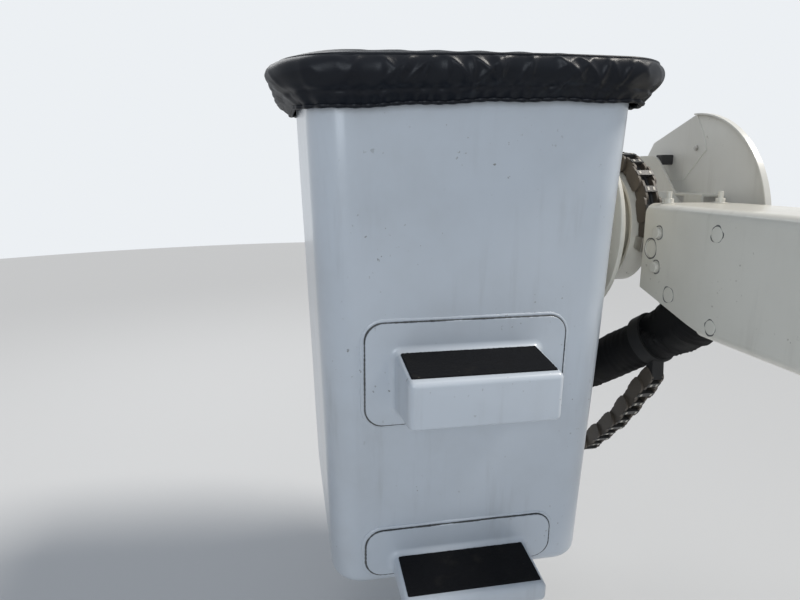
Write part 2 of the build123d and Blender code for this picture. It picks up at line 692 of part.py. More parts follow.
# Lanyard anchor on the boom's far side
anchor_x = TUBE_L - ANCHOR_BACK
with BuildPart() as lanyard_anchor:
    with Locations((anchor_x, -(TUBE_W + ANCHOR_T) / 2, ANCHOR_Z)):
        Box(ANCHOR_W, ANCHOR_T, ANCHOR_W)
    with Locations((anchor_x, -(TUBE_W + EYE_W) / 2, ANCHOR_Z)):
        Box(EYE_T, EYE_W, 0.67 * ANCHOR_W)
    with Locations((anchor_x, -TUBE_W / 2 - EYE_W + 24, ANCHOR_Z)):
        Cylinder(ANCHOR_R, EYE_T + 2, rotation=(0, 90, 0), mode=Mode.SUBTRACT)
save(lanyard_anchor.part, "lanyard_anchor")
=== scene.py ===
# %% [markdown]
# # Aerial lift bucket with boom tip
# A glass-fibre work bucket hangs beside the tip of an insulated boom. The frame from the CAD model gives every
# size and place; this file adds the finishes and the forms that only a surface mesh can give.

# %% Load the frame
import math

import bmesh
import bpy
import numpy as np
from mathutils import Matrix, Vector


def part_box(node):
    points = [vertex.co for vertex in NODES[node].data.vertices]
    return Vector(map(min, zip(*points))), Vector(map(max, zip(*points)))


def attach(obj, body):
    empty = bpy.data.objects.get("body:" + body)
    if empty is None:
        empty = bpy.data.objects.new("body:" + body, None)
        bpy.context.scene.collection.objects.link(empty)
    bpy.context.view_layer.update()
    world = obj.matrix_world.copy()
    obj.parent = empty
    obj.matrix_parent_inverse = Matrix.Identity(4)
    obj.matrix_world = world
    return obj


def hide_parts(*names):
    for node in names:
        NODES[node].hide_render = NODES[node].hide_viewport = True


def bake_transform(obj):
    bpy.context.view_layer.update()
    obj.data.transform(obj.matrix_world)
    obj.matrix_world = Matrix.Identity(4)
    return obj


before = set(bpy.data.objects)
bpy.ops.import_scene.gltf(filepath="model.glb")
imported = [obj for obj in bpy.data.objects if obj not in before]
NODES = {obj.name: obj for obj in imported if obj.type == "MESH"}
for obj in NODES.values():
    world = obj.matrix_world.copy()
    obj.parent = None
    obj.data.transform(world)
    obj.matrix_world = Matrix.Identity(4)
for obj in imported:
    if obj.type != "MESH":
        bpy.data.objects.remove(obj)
scene = bpy.context.scene
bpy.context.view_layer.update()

# %% [markdown]
# ## The camera
# The photo was taken from beside the boom, looking along it at the bucket. The lens and the two angles were
# worked out from the horizon and from the edges of the boom and the bucket.

# %% Camera
CAMERA_AT = (-0.53, 0.97, 0.213)
YAW = math.radians(10.8)
PITCH = math.radians(12.205)
FOCAL_PIXELS = 601.0
PHOTO_W, SENSOR_W = 800.0, 36.0


def aimed(data, way):
    """Puts a camera or lamp in the scene that looks along a direction."""
    obj = bpy.data.objects.new(data.name, data)
    obj.rotation_mode = "QUATERNION"
    obj.rotation_quaternion = way.to_track_quat("-Z", "Y")
    scene.collection.objects.link(obj)
    return obj


look = Vector((math.cos(PITCH) * math.cos(YAW), -math.cos(PITCH) * math.sin(YAW), -math.sin(PITCH)))
camera_data = bpy.data.cameras.new("camera")
camera_data.sensor_width = SENSOR_W
camera_data.lens = SENSOR_W * FOCAL_PIXELS / PHOTO_W
scene.camera = aimed(camera_data, look)
scene.camera.location = CAMERA_AT
print("lens", round(camera_data.lens, 2), "mm")

# %% [markdown]
# ## Light
# Soft studio light shows the form: a wide sun from above and the boom's side, a weak cool lamp on the open
# side, one behind, and a pale even sky. What the camera and mirrors see is a plain pale backdrop, so the sky's
# strength can be set apart.

# %% Stage
SKY_COLOR, SKY_STRENGTH = (0.80, 0.88, 1.0, 1), 0.33
BACKDROP = (0.84, 0.87, 0.90, 1)
SUN_POWER, SUN_SPREAD, SUN_COLOR = 2.9, math.radians(18), (1.0, 0.95, 0.88)
SUN_WAY = Vector((0.4, 2.3, -2.9))
LAMPS = [
    # name, place, aim, size, power, colour
    ("fill", (-2.2, 1.6, 0.7), (0.8, 0.5, 0.2), 1.3, 26, (0.84, 0.92, 1.0)),
    ("back", (3.4, 1.6, 2.2), (0.9, 0.4, 0.0), 2.0, 30, (1.0, 1.0, 1.0)),
]

world = bpy.data.worlds.new("studio")
world.use_nodes = True
scene.world = world
world_nodes, world_links = world.node_tree.nodes, world.node_tree.links
sky = world_nodes["Background"]
sky.inputs["Color"].default_value = SKY_COLOR
sky.inputs["Strength"].default_value = SKY_STRENGTH
plain = world_nodes.new("ShaderNodeBackground")
plain.inputs["Color"].default_value = BACKDROP
paths = world_nodes.new("ShaderNodeLightPath")
choose = world_nodes.new("ShaderNodeMixShader")
seen = paths.outputs["Is Camera Ray"]
for ray in ("Is Glossy Ray", "Is Transmission Ray"):
    either = world_nodes.new("ShaderNodeMath")
    either.operation = "MAXIMUM"
    world_links.new(seen, either.inputs[0])
    world_links.new(paths.outputs[ray], either.inputs[1])
    seen = either.outputs[0]
for source, socket in zip((seen, sky.outputs[0], plain.outputs[0]), choose.inputs):
    world_links.new(source, socket)
world_links.new(choose.outputs[0], world_nodes["World Output"].inputs[0])

sun = bpy.data.lights.new("key", "SUN")
sun.energy, sun.angle, sun.color = SUN_POWER, SUN_SPREAD, SUN_COLOR
aimed(sun, SUN_WAY)
for name, at, aim, size, power, color in LAMPS:
    panel = bpy.data.lights.new(name, "AREA")
    panel.size, panel.energy, panel.color = size, power, color
    aimed(panel, Vector(aim) - Vector(at)).location = at
scene.view_settings.view_transform = "Standard"
print("lamps", len(bpy.data.lights))

# %% [markdown]
# ## Surfaces from arrays
# Each new piece is a grid of points worked out at once: rows run along it and columns round it.
# The helpers join such grids into one mesh, close their ends and turn the faces outwards.


# %% Helpers
def quads(rows, cols, wrap=True):
    """Corners of a grid's faces, where point (i, j) has number i * cols + j. With wrap the last column joins
    the first."""
    i = np.arange(rows - 1)[:, None]
    j = np.arange(cols if wrap else cols - 1)[None, :]
    a = i * cols + j
    b = i * cols + (j + 1) % cols
    return np.stack([a, b, b + cols, a + cols], -1).reshape(-1, 4).tolist()


def tube_grid(rings):
    """rings is (rows, columns, 3). Its faces, with a flat face that closes each end."""
    rows, cols, _ = rings.shape
    faces = quads(rows, cols)
    faces.append(list(range(cols))[::-1])
    faces.append([(rows - 1) * cols + j for j in range(cols)])
    return rings.reshape(-1, 3), faces


def hoop_grid(rings):
    """rings is (rows, columns, 3) round a closed loop: the last row joins the first."""
    rows, cols, _ = rings.shape
    faces = np.array(quads(rows + 1, cols)) % (rows * cols)
    return rings.reshape(-1, 3), faces.tolist()


def unit(vectors):
    """The same directions with a length of 1."""
    return vectors / np.linalg.norm(vectors, axis=-1, keepdims=True)


def show(name, mesh, material, sharp):
    """Puts a mesh in the scene, shaded smooth, but not over edges that turn by more than sharp degrees."""
    mesh.shade_smooth()
    mesh.set_sharp_from_angle(angle=math.radians(sharp))
    mesh.materials.clear()
    mesh.materials.append(material)
    obj = bpy.data.objects.new(name, mesh)
    scene.collection.objects.link(obj)
    return obj


def make_mesh(name, parts, material, sharp=180, weld=1e-6, recalc=True):
    """Joins the parts, each a pair of points and faces, into one mesh object at the origin."""
    points, faces, base = [], [], 0
    for part_points, part_faces in parts:
        points.append(np.asarray(part_points, float).reshape(-1, 3))
        faces += [[base + k for k in face] for face in part_faces]
        base += len(points[-1])
    mesh = bpy.data.meshes.new(name)
    mesh.from_pydata(np.concatenate(points).tolist(), [], faces)
    form = bmesh.new()
    form.from_mesh(mesh)
    if weld:
        bmesh.ops.remove_doubles(form, verts=form.verts, dist=weld)
    if recalc:
        bmesh.ops.recalc_face_normals(form, faces=form.faces)
    form.to_mesh(mesh)
    form.free()
    return show(name, mesh, material, sharp)


def settle(obj, body, slot, *nodes):
    """The piece rides on a body and may stand for CAD nodes. slot is not used."""
    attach(obj, body)
    if nodes:
        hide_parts(*nodes)
    print(obj.name, len(obj.data.polygons), "faces on", body)
    return obj


def piece(name, parts, material, body, slot, *nodes, **shading):
    """A new mesh, settled on its body."""
    return settle(make_mesh(name, parts, material, **shading), body, slot, *nodes)


def rounded_ring(hx, hy, r, corner, side):
    """Rounded rectangles of half sizes hx and hy, anticlockwise: a quarter circle of radius r at each corner,
    in corner steps, and straight sides, in side steps."""
    hx, hy, r = (np.atleast_1d(np.asarray(a, float))[:, None] for a in (hx, hy, r))
    hx, hy, r = np.broadcast_arrays(hx, hy, r)
    arcs = []
    for k, (sx, sy) in enumerate(((1, 1), (-1, 1), (-1, -1), (1, -1))):
        a = np.radians(np.linspace(0, 90, corner + 1) + 90 * k)[None, :]
        arcs.append(np.stack([sx * (hx - r) + r * np.cos(a), sy * (hy - r) + r * np.sin(a)], -1))
    out = []
    t = np.linspace(0, 1, side + 1)[1:-1][None, :, None]
    for k in range(4):
        out.append(arcs[k])
        out.append(arcs[k][:, -1:] * (1 - t) + arcs[(k + 1) % 4][:, :1] * t)
    return np.concatenate(out, 1)


def ripple(x, y, seed, count, scale):
    """A smooth random field, about -1 to 1: a sum of plane waves of random direction, length and phase."""
    rng = np.random.default_rng(seed)
    angle = rng.uniform(0, 2 * np.pi, count)
    wave = rng.uniform(0.6, 1.7, count) / scale
    phase = rng.uniform(0, 2 * np.pi, count)
    turn = x[..., None] * np.cos(angle) + y[..., None] * np.sin(angle)
    return np.sin(2 * np.pi * wave * turn + phase).sum(-1) / math.sqrt(count)


# %% [markdown]
# ## Finishes
# Gelcoat is a hard, slightly wavy gloss over glass fibre. Out of doors it picks up specks, rubs and rain
# streaks. These effects are node groups with their own values in each material: `weathering` gives masks and
# `fine_grain` a height.


# %% Node groups
def group_tree(name, inputs, outputs):
    """A new node group of plain numbers: its tree, its input node and its output node."""
    tree = bpy.data.node_groups.new(name, "ShaderNodeTree")
    for label, value in inputs:
        socket = tree.interface.new_socket(name=label, in_out="INPUT", socket_type="NodeSocketFloat")
        socket.default_value = value
    for label in outputs:
        tree.interface.new_socket(name=label, in_out="OUTPUT", socket_type="NodeSocketFloat")
    return tree, tree.nodes.new("NodeGroupInput"), tree.nodes.new("NodeGroupOutput")


def node(tree, kind, **settings):
    """A shader node with its settings."""
    made = tree.nodes.new("ShaderNode" + kind)
    for key, value in settings.items():
        setattr(made, key, value)
    return made


def set_inputs(made, **values):
    """Sets a node's inputs by name, with _ for a space."""
    for label, value in values.items():
        made.inputs[label.replace("_", " ")].default_value = value


def mask(tree, place, scale, detail, rough, low, high, stretch=None):
    """Noise turned into a mask: a smooth step from 0 where the noise is low to 1 where it is high."""
    if stretch:
        mapping = node(tree, "Mapping")
        set_inputs(mapping, Scale=stretch)
        tree.links.new(place, mapping.inputs["Vector"])
        place = mapping.outputs["Vector"]
    grain = node(tree, "TexNoise")
    set_inputs(grain, Scale=scale, Detail=detail, Roughness=rough)
    tree.links.new(place, grain.inputs["Vector"])
    step = node(tree, "MapRange", interpolation_type="SMOOTHSTEP")
    set_inputs(step, From_Min=low, From_Max=high)
    tree.links.new(grain.outputs["Fac"], step.inputs["Value"])
    return step.outputs["Result"]


def combine(tree, operation, a, b, clamp=False):
    """One number from two: their product, sum or whatever the operation says."""
    made = node(tree, "Math", operation=operation, use_clamp=clamp)
    tree.links.new(a, made.inputs[0])
    tree.links.new(b, made.inputs[1])
    return made.outputs[0]


RAIN = (1.0, 1.0, 0.09)
MARKS = ("Specks", "Streaks", "Clouds")
tree, into, out = group_tree("weathering", [(mark, 1.0) for mark in MARKS], MARKS)
place = node(tree, "TexCoord").outputs["Object"]
spots = mask(tree, place, 95.0, 2.0, 0.4, 0.70, 0.76)
patches = mask(tree, place, 7.0, 2.0, 0.55, 0.48, 0.66)
runs = mask(tree, place, 26.0, 4.0, 0.6, 0.52, 0.78, RAIN)
fade = mask(tree, place, 3.1, 2.0, 0.55, 0.42, 0.62)
cloud = mask(tree, place, 2.3, 5.0, 0.62, 0.36, 0.72)
fields = (combine(tree, "MULTIPLY", spots, patches), combine(tree, "MULTIPLY", runs, fade), cloud)
for mark, field in zip(MARKS, fields):
    tree.links.new(combine(tree, "MULTIPLY", field, into.outputs[mark]), out.inputs[mark])

tree, into, out = group_tree("fine_grain", [("Size", 300.0)], ["Height"])
made = node(tree, "TexNoise")
set_inputs(made, Detail=3.0)
tree.links.new(node(tree, "TexCoord").outputs["Object"], made.inputs["Vector"])
tree.links.new(into.outputs["Size"], made.inputs["Scale"])
tree.links.new(made.outputs["Fac"], out.inputs["Height"])
print("groups", [group.name for group in bpy.data.node_groups])

# %% [markdown]
# A finish mixes its own colour with two others, dust and grime, by the three masks, and takes its roughness
# from the same masks, so a dark rub is also duller. The bump is finer than both.


# %% Finishes from the groups
COAT_ROUGH = 0.12
MARKS_ROUGHER = 0.25
GRAZING = (0.55, 0.93)
GRAZING_SHINE = 0.02
BUMP_HEIGHT = 0.001


def dull_at_edges(tree, shader, shine):
    """The mirror fades as the view gets grazing, as on cloth or grit."""
    edge = node(tree, "LayerWeight")
    set_inputs(edge, Blend=0.5)
    fall = node(tree, "MapRange", interpolation_type="SMOOTHSTEP")
    set_inputs(fall, From_Min=GRAZING[0], From_Max=GRAZING[1], To_Min=shine, To_Max=GRAZING_SHINE)
    tree.links.new(edge.outputs["Facing"], fall.inputs["Value"])
    tree.links.new(fall.outputs["Result"], shader.inputs["Specular IOR Level"])


def finish(name, color, rough, grime, dust, masks, grain, coat=0.0, metallic=0.0, shine=0.5, grained=False):
    """A material. masks are the shares of specks, streaks and clouds, and grain the scale and strength of the
    bump. Dust colours the clouds, and grime the streaks and specks, which are rougher as well."""
    material = bpy.data.materials.new(name)
    material.use_nodes = True
    tree = material.node_tree
    shader = tree.nodes["Principled BSDF"]
    set_inputs(shader, Metallic=metallic, Specular_IOR_Level=shine)
    set_inputs(shader, Coat_Weight=coat, Coat_Roughness=COAT_ROUGH)
    if grained:
        dull_at_edges(tree, shader, shine)
    wear = node(tree, "Group", node_tree=bpy.data.node_groups["weathering"])
    set_inputs(wear, **dict(zip(MARKS, masks)))
    last = None
    for mark, tint in (("Clouds", dust), ("Streaks", grime), ("Specks", grime)):
        mix = node(tree, "Mix", data_type="RGBA")
        tree.links.new(wear.outputs[mark], mix.inputs["Factor"])
        before, after = mix.inputs[6], mix.inputs[7]
        if last is None:
            before.default_value = (*color, 1)
        else:
            tree.links.new(last, before)
        after.default_value = (*tint, 1)
        last = mix.outputs[2]
    tree.links.new(last, shader.inputs["Base Color"])
    marks = combine(tree, "ADD", wear.outputs["Streaks"], wear.outputs["Specks"], clamp=True)
    dull = node(tree, "MapRange")
    set_inputs(dull, To_Min=rough, To_Max=min(1.0, rough + MARKS_ROUGHER))
    tree.links.new(marks, dull.inputs["Value"])
    tree.links.new(dull.outputs["Result"], shader.inputs["Roughness"])
    relief = node(tree, "Group", node_tree=bpy.data.node_groups["fine_grain"])
    set_inputs(relief, Size=grain[0])
    bump = node(tree, "Bump")
    set_inputs(bump, Strength=grain[1], Distance=BUMP_HEIGHT)
    tree.links.new(relief.outputs["Height"], bump.inputs["Height"])
    tree.links.new(bump.outputs["Normal"], shader.inputs["Normal"])
    return material


# Name, colour, roughness, grime and dust, then masks and grain
# The bucket is white gelcoat; its colour here is a darker, bluer grey, which is painted shade.
PAINTED_SHADE_GELCOAT = finish(
    "bucket_gelcoat", (0.50, 0.545, 0.60), 0.30, (0.19, 0.19, 0.185), (0.40, 0.425, 0.45),
    (0.9, 0.20, 0.6), (9.0, 0.25), coat=0.25,
)
BOOM_COAT = finish(
    "boom_gelcoat", (0.70, 0.68, 0.61), 0.32, (0.26, 0.23, 0.18), (0.60, 0.58, 0.51),
    (0.7, 0.22, 0.6), (14.0, 0.2), coat=0.3,
)
PAINT = finish(
    "hub_paint", (0.66, 0.64, 0.57), 0.42, (0.25, 0.21, 0.16), (0.55, 0.53, 0.47),
    (0.9, 0.3, 0.7), (260.0, 0.12),
)
GUARD_COAT = finish(
    "guard_coat", (0.72, 0.71, 0.66), 0.34, (0.33, 0.30, 0.25), (0.62, 0.60, 0.55),
    (0.6, 0.25, 0.6), (12.0, 0.15), coat=0.2,
)
STEEL = finish(
    "steel", (0.52, 0.51, 0.49), 0.38, (0.16, 0.12, 0.09), (0.40, 0.37, 0.33),
    (1.0, 0.4, 0.6), (500.0, 0.15), metallic=1.0,
)
RUBBER = finish(
    "rubber", (0.018, 0.018, 0.019), 0.62, (0.06, 0.055, 0.05), (0.03, 0.03, 0.03),
    (0.8, 0.3, 0.6), (700.0, 0.3),
)
CHAIN_PLASTIC = finish(
    "chain_plastic", (0.055, 0.045, 0.036), 0.55, (0.14, 0.115, 0.085), (0.095, 0.078, 0.06),
    (0.9, 0.5, 0.8), (420.0, 0.3),
)
CHAIN_BAR = finish(
    "chain_bar", (0.016, 0.016, 0.016), 0.45, (0.09, 0.08, 0.065), (0.035, 0.032, 0.03),
    (0.7, 0.4, 0.5), (420.0, 0.2),
)
# The clips' pale colour is painted highlight, the small glints along the chain's edges.
CLIP_PAINTED_HIGHLIGHT = finish(
    "chain_clip_painted_highlight", (0.56, 0.54, 0.48), 0.5, (0.2, 0.17, 0.13), (0.42, 0.39, 0.33),
    (0.8, 0.4, 0.6), (420.0, 0.2),
)
SLEEVE_CLOTH = finish(
    "sleeve_fabric", (0.004, 0.004, 0.0045), 0.62, (0.03, 0.027, 0.022), (0.009, 0.009, 0.009),
    (0.5, 0.3, 0.5), (900.0, 0.5), shine=0.16, grained=True,
)
VINYL = finish(
    "vinyl", (0.0035, 0.005, 0.009), 0.33, (0.03, 0.031, 0.034), (0.007, 0.010, 0.015),
    (0.25, 0.15, 0.6), (650.0, 0.3), shine=0.20, grained=True,
)
GRIT = finish(
    "grit", (0.004, 0.0045, 0.006), 0.8, (0.06, 0.055, 0.045), (0.010, 0.010, 0.010),
    (1.0, 0.2, 0.7), (520.0, 1.0), shine=0.12, grained=True,
)
CONTROL_GREY = finish(
    "control_grey", (0.06, 0.06, 0.063), 0.5, (0.15, 0.14, 0.12), (0.08, 0.08, 0.08),
    (0.6, 0.3, 0.5), (380.0, 0.3),
)
# Dark finish: the thin dark bead at the step flanges, and painted shade in the gaps round the boom's plugs and
# pins.
DARK_BEAD_AND_GAP_SHADE = finish(
    "dark_bead_and_gap_shade", (0.030, 0.033, 0.036), 0.7, (0.03, 0.03, 0.03), (0.20, 0.20, 0.195),
    (1.0, 0.5, 0.9), (300.0, 0.6),
)
CLAMP_BLACK = finish(
    "clamp_black", (0.010, 0.010, 0.010), 0.6, (0.05, 0.04, 0.03), (0.02, 0.02, 0.02),
    (1.0, 0.4, 0.6), (400.0, 0.2), shine=0.3,
)
print("finishes", len(bpy.data.materials))

# %% [markdown]
# ## Rigid pieces that keep their CAD form
# Plates, pins and housings are right as they are. A copy is welded, its flat faces are joined, and a small
# bevel catches the light along every edge.


# %% Bevelled copies
SHARP = 40
SAME_PLANE = math.radians(0.6)


def eased(node_name, body, slot, material, bevel):
    """A finished copy of a CAD node, with joined flat faces and a bevel of the given width on sharp edges."""
    mesh = NODES[node_name].data.copy()
    form = bmesh.new()
    form.from_mesh(mesh)
    bmesh.ops.remove_doubles(form, verts=form.verts, dist=1e-5)
    bmesh.ops.dissolve_limit(form, angle_limit=SAME_PLANE, verts=form.verts, edges=form.edges)
    form.to_mesh(mesh)
    form.free()
    obj = show(node_name + "_finish", mesh, material, SHARP)
    edge = obj.modifiers.new("bevel", "BEVEL")
    edge.width, edge.segments = bevel, 2
    edge.limit_method, edge.angle_limit = "ANGLE", math.radians(SHARP)
    edge.harden_normals = True
    return settle(obj, body, slot, node_name)


# node, slot, finish and the width of its bevel, by the body that it rides on
EASED = {
    "boom_tip": [
        ("boom_tube", "boom_gelcoat", BOOM_COAT, 0.002),
        ("tip_fitting", "hub_paint", PAINT, 0.003),
        ("tip_pin", "boom_gelcoat", BOOM_COAT, 0.002),
        ("tip_bolts", "steel", PAINT, 0.002),
        ("top_studs", "boom_gelcoat", BOOM_COAT, 0.0008),
        ("guard_shell", "guard_white", GUARD_COAT, 0.001),
        ("guard_bracket", "hub_paint", PAINT, 0.001),
        ("guard_bumper", "rubber", RUBBER, 0.003),
        ("chain_anchor", "steel", CLAMP_BLACK, 0.001),
        ("lanyard_anchor", "hub_paint", PAINT, 0.002),
    ],
    "bucket": [
        ("hub_shaft", "steel", STEEL, 0.002),
        ("chain_drum", "hub_paint", PAINT, 0.002),
        ("disc_flange", "hub_paint", PAINT, 0.003),
        ("bucket_mount", "hub_paint", PAINT, 0.002),
        ("mount_bolts", "steel", STEEL, 0.0008),
        ("chain_end", "steel", STEEL, 0.002),
        ("control_box", "control_grey", CONTROL_GREY, 0.003),
        ("control_bracket", "hub_paint", PAINT, 0.002),
        ("control_lever", "rubber", RUBBER, 0.002),
    ],
}
for body, rows in EASED.items():
    for node_name, slot, material, bevel in rows:
        eased(node_name, body, slot, material, bevel)

# %% [markdown]
# ## The bucket
# The bucket is laid up in a tapered mould, so its wall is a rounded rectangle growing towards the rim, with
# a soft radius round the floor and a turned-out lip. A box with bevels would lose the taper and the lip's inner
# round, so one profile of insets and heights is carried round the outline and gives outside, lip and inside in
# one closed skin. A real laminate is never flat, so the wall ripples by half a millimetre.

# %% Bucket outline
shell_low, shell_high = (np.array(corner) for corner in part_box("bucket_shell"))
LIP_W, LIP_T = 0.014, 0.009
SKIN = 0.006
EDGE_R = 0.028
BUCKET_AT = (shell_low[:2] + shell_high[:2]) / 2
FLOOR_Z, RIM_Z = shell_low[2], shell_high[2]
TOP = np.append((shell_high[:2] - shell_low[:2]) / 2 - LIP_W, 0.070)
BOTTOM = np.array([0.330, 0.294, 0.070])


def bucket_size(z):
    """Half length, half width and corner radius of the outside at height z, in line from floor to rim."""
    t = (np.asarray(z) - FLOOR_Z) / (RIM_Z - FLOOR_Z)
    return BOTTOM[:, None] + (TOP - BOTTOM)[:, None] * t


def bucket_rings(inset, z):
    """The outline at each height z, set in by inset, as rings of points."""
    flat = rounded_ring(*(bucket_size(z) - inset), corner=14, side=26) + BUCKET_AT
    return np.concatenate([flat, np.broadcast_to(np.asarray(z)[:, None, None], flat.shape[:2] + (1,))], -1)


# %% [markdown]
# The profile is a chain of arcs and uprights in one plane, read from the floor's round to the lip and down the
# inside. The ripple is nothing at the floor and at the lip.


# %% Bucket shell
def arc(centre_inset, centre_z, radius, start, end, steps):
    """Points of a circle in the plane of inset and height, by angle in degrees."""
    a = np.radians(np.linspace(start, end, steps))
    return np.stack([centre_inset - radius * np.cos(a), centre_z + radius * np.sin(a)], 1)


def upright(inset, start, end, steps):
    """Points of a straight rise in the same plane."""
    return np.stack([np.full(steps, inset), np.linspace(start, end, steps)], 1)


WALL_STEPS, FLOOR_STEPS = 46, 7
RIPPLE = 0.0006
floor_in = FLOOR_Z + SKIN + 0.002
under = RIM_Z - LIP_T
lip = [(-LIP_W + 0.002, under), (-LIP_W, under + 0.002), (-LIP_W, RIM_Z - 0.003)]
lip += [(-LIP_W + 0.003, RIM_Z), (SKIN - 0.004, RIM_Z), (SKIN - 0.001, RIM_Z - 0.001)]
bends = [
    arc(EDGE_R, FLOOR_Z + EDGE_R, EDGE_R, -90, 0, FLOOR_STEPS),
    upright(0, FLOOR_Z + EDGE_R + 0.02, under - 0.02, WALL_STEPS),
    arc(-SKIN, under - SKIN, SKIN, 180, 90, 5),
    lip,
    upright(SKIN, RIM_Z - 0.004, floor_in + EDGE_R, 30),
    arc(EDGE_R, floor_in + EDGE_R - SKIN, EDGE_R - SKIN, 0, -90, 6),
]
profile = np.concatenate(bends)
rings = bucket_rings(profile[:, 0], profile[:, 1])
on_wall = np.zeros(len(profile))
on_wall[FLOOR_STEPS : FLOOR_STEPS + WALL_STEPS] = np.sin(np.linspace(0, np.pi, WALL_STEPS)) ** 0.5
wave = ripple(rings[..., 0] + rings[..., 1], rings[..., 2], 3, 9, 0.45) * RIPPLE * on_wall[:, None]
away = rings[..., :2] - BUCKET_AT
rings[..., :2] += unit(away) * wave[..., None]
piece("bucket_form", [tube_grid(rings)], PAINTED_SHADE_GELCOAT, "bucket", "bucket_gelcoat", "bucket_shell", sharp=50)

# %% [markdown]
# ## The steps
# Two mouldings are bonded to the front wall. Each is a hollow box with a flange, drawn from a mould, so every
# inner corner is a soft fillet and every outer one is round. Rounded outlines stand one after another on the
# way out of the wall: flange, fillet, box, nose.

# %% Steps
STEP_TOP, STEP_PITCH, STEP_SHIFT = -0.145, 0.473, 0.012
STEP_OUT, STEP_FALL = 0.142, 0.011
BOX_W, NOSE_W, BOX_H, NOSE_H = 0.306, 0.302, 0.127, 0.097
BOX_R, NOSE_R, STEP_FILLET, LEAST_R = 0.011, 0.011, 0.014, 0.004
FLANGE_W, FLANGE_OVER, FLANGE_UNDER = 0.426, 0.061, 0.159
FLANGE_T, FLANGE_R, FLANGE_EASE = 0.005, 0.038, 0.0015
FLANGE_SUNK = 0.002
STEPS = (("upper", STEP_TOP), ("lower", STEP_TOP - STEP_PITCH))

front_slope = math.atan((TOP[0] - BOTTOM[0]) / (RIM_Z - FLOOR_Z))
FRONT_AT = np.array([BUCKET_AT[0] - bucket_size([0.0])[0, 0], BUCKET_AT[1] + STEP_SHIFT, 0.0])
FRONT_UP = np.array([-math.sin(front_slope), 0.0, math.cos(front_slope)])
FRONT_OUT = np.array([-math.cos(front_slope), 0.0, -math.sin(front_slope)])
FRONT_ACROSS = np.array([0.0, -1.0, 0.0])


def on_front(across, up, out):
    """Points given by their place across, up and out of the front wall."""
    across, up, out = (a[..., None] for a in np.broadcast_arrays(across, up, out))
    return FRONT_AT + across * FRONT_ACROSS + up * FRONT_UP + out * FRONT_OUT


def flange_ends(top):
    """Heights of the flange's upper and lower edge. The floor's round cuts the lower flange short."""
    return top + FLANGE_OVER, max(top - FLANGE_UNDER, FLOOR_Z + EDGE_R)


def step_form(top):
    """Outlines on the way out, each with its place out, half width, top, foot and corner radius."""
    foot = max(top - BOX_H, FLOOR_Z + EDGE_R)
    nose_top = top - STEP_FALL
    nose_foot = max(nose_top - NOSE_H, FLOOR_Z + EDGE_R / 2)
    flange_top, flange_foot = flange_ends(top)

    def section(out, spread):
        """The box's row at one distance out, grown by spread."""
        t = out / STEP_OUT
        half = (BOX_W + (NOSE_W - BOX_W) * t) / 2 + spread
        high = top + (nose_top - top) * t + spread
        low = foot + (nose_foot - foot) * t - spread
        return out, half, high, max(low, min(flange_foot + 0.001, foot)), max(BOX_R + spread, LEAST_R)

    ease = FLANGE_EASE
    rows = [
        (-FLANGE_SUNK, FLANGE_W / 2, flange_top, flange_foot, FLANGE_R),
        (FLANGE_T - ease, FLANGE_W / 2, flange_top, flange_foot, FLANGE_R),
        (FLANGE_T, FLANGE_W / 2 - ease, flange_top - ease, flange_foot + ease / 3, FLANGE_R - ease),
    ]
    for a in np.radians(np.linspace(0, 90, 8)):
        rows.append(section(FLANGE_T + STEP_FILLET * (1 - math.cos(a)), STEP_FILLET * (1 - math.sin(a))))
    for out in np.linspace(FLANGE_T + STEP_FILLET, STEP_OUT - NOSE_R, 9)[1:-1]:
        rows.append(section(out, 0.0))
    for a in np.radians(np.linspace(0, 90, 8)):
        out = STEP_OUT - NOSE_R + NOSE_R * math.sin(a)
        half, high, low, r = section(out, 0.0)[1:]
        inset = NOSE_R * (1 - math.cos(a))
        rows.append((out, half - inset, high - inset, low + inset * 0.5, max(r - inset, LEAST_R)))
    out, half, high, low, r = np.array(rows).T
    r = np.minimum(r, 0.49 * (high - low))
    ring = rounded_ring(half, (high - low) / 2, r, corner=10, side=18)
    return on_front(ring[..., 0], ring[..., 1] + ((high + low) / 2)[:, None], out[:, None])


for name, top in STEPS:
    form = tube_grid(step_form(top))
    piece("step_form_" + name, [form], PAINTED_SHADE_GELCOAT, "bucket", "bucket_gelcoat", "step_" + name, sharp=40)

# %% [markdown]
# The flange is stuck on with sealer, smeared by hand: a pale bead of uneven width, fatter on the left. A thin
# dark bead, also uneven, lies in the corner at the flange's edge. Each is a tube along the flange's edge, with
# its width led by smooth noise.

# %% Sealer
SWELLS = ((0.22, 0, 0.11), (0.16, 50, 0.012))
SWELL_LEFT = 0.4


def outward(line):
    """Unit directions out of a closed flat line that runs anticlockwise."""
    ahead = np.roll(line, -1, 0) - np.roll(line, 1, 0)
    return unit(np.stack([ahead[:, 1], -ahead[:, 0]], 1))


def bead(outline, out, width, height, seed):
    """A bead along a closed outline on the front wall, whose width swells and thins."""
    swell = 1.0
    for share, other, scale in SWELLS:
        swell = swell + share * ripple(outline[:, 0], outline[:, 1], seed + other, 9, scale)
    swell = np.clip(swell, 0.4, 1.8) * (1 + SWELL_LEFT * np.clip(-outline[:, 0] / (FLANGE_W / 2), 0, 1))
    a = np.radians(np.arange(0, 360, 36))
    side = outline[:, None] + outward(outline)[:, None] * (width * swell[:, None] * np.cos(a))[..., None]
    return on_front(side[..., 0], side[..., 1], out + height * np.sin(a) * np.sqrt(swell)[:, None])


def flange_line(top, grow):
    """The flange's outline, moved outwards: columns across and up."""
    high, low = flange_ends(top)
    line = rounded_ring(FLANGE_W / 2 + grow, (high - low) / 2 + grow, FLANGE_R + grow, 16, 90)[0]
    line[:, 1] += (high + low) / 2
    return line


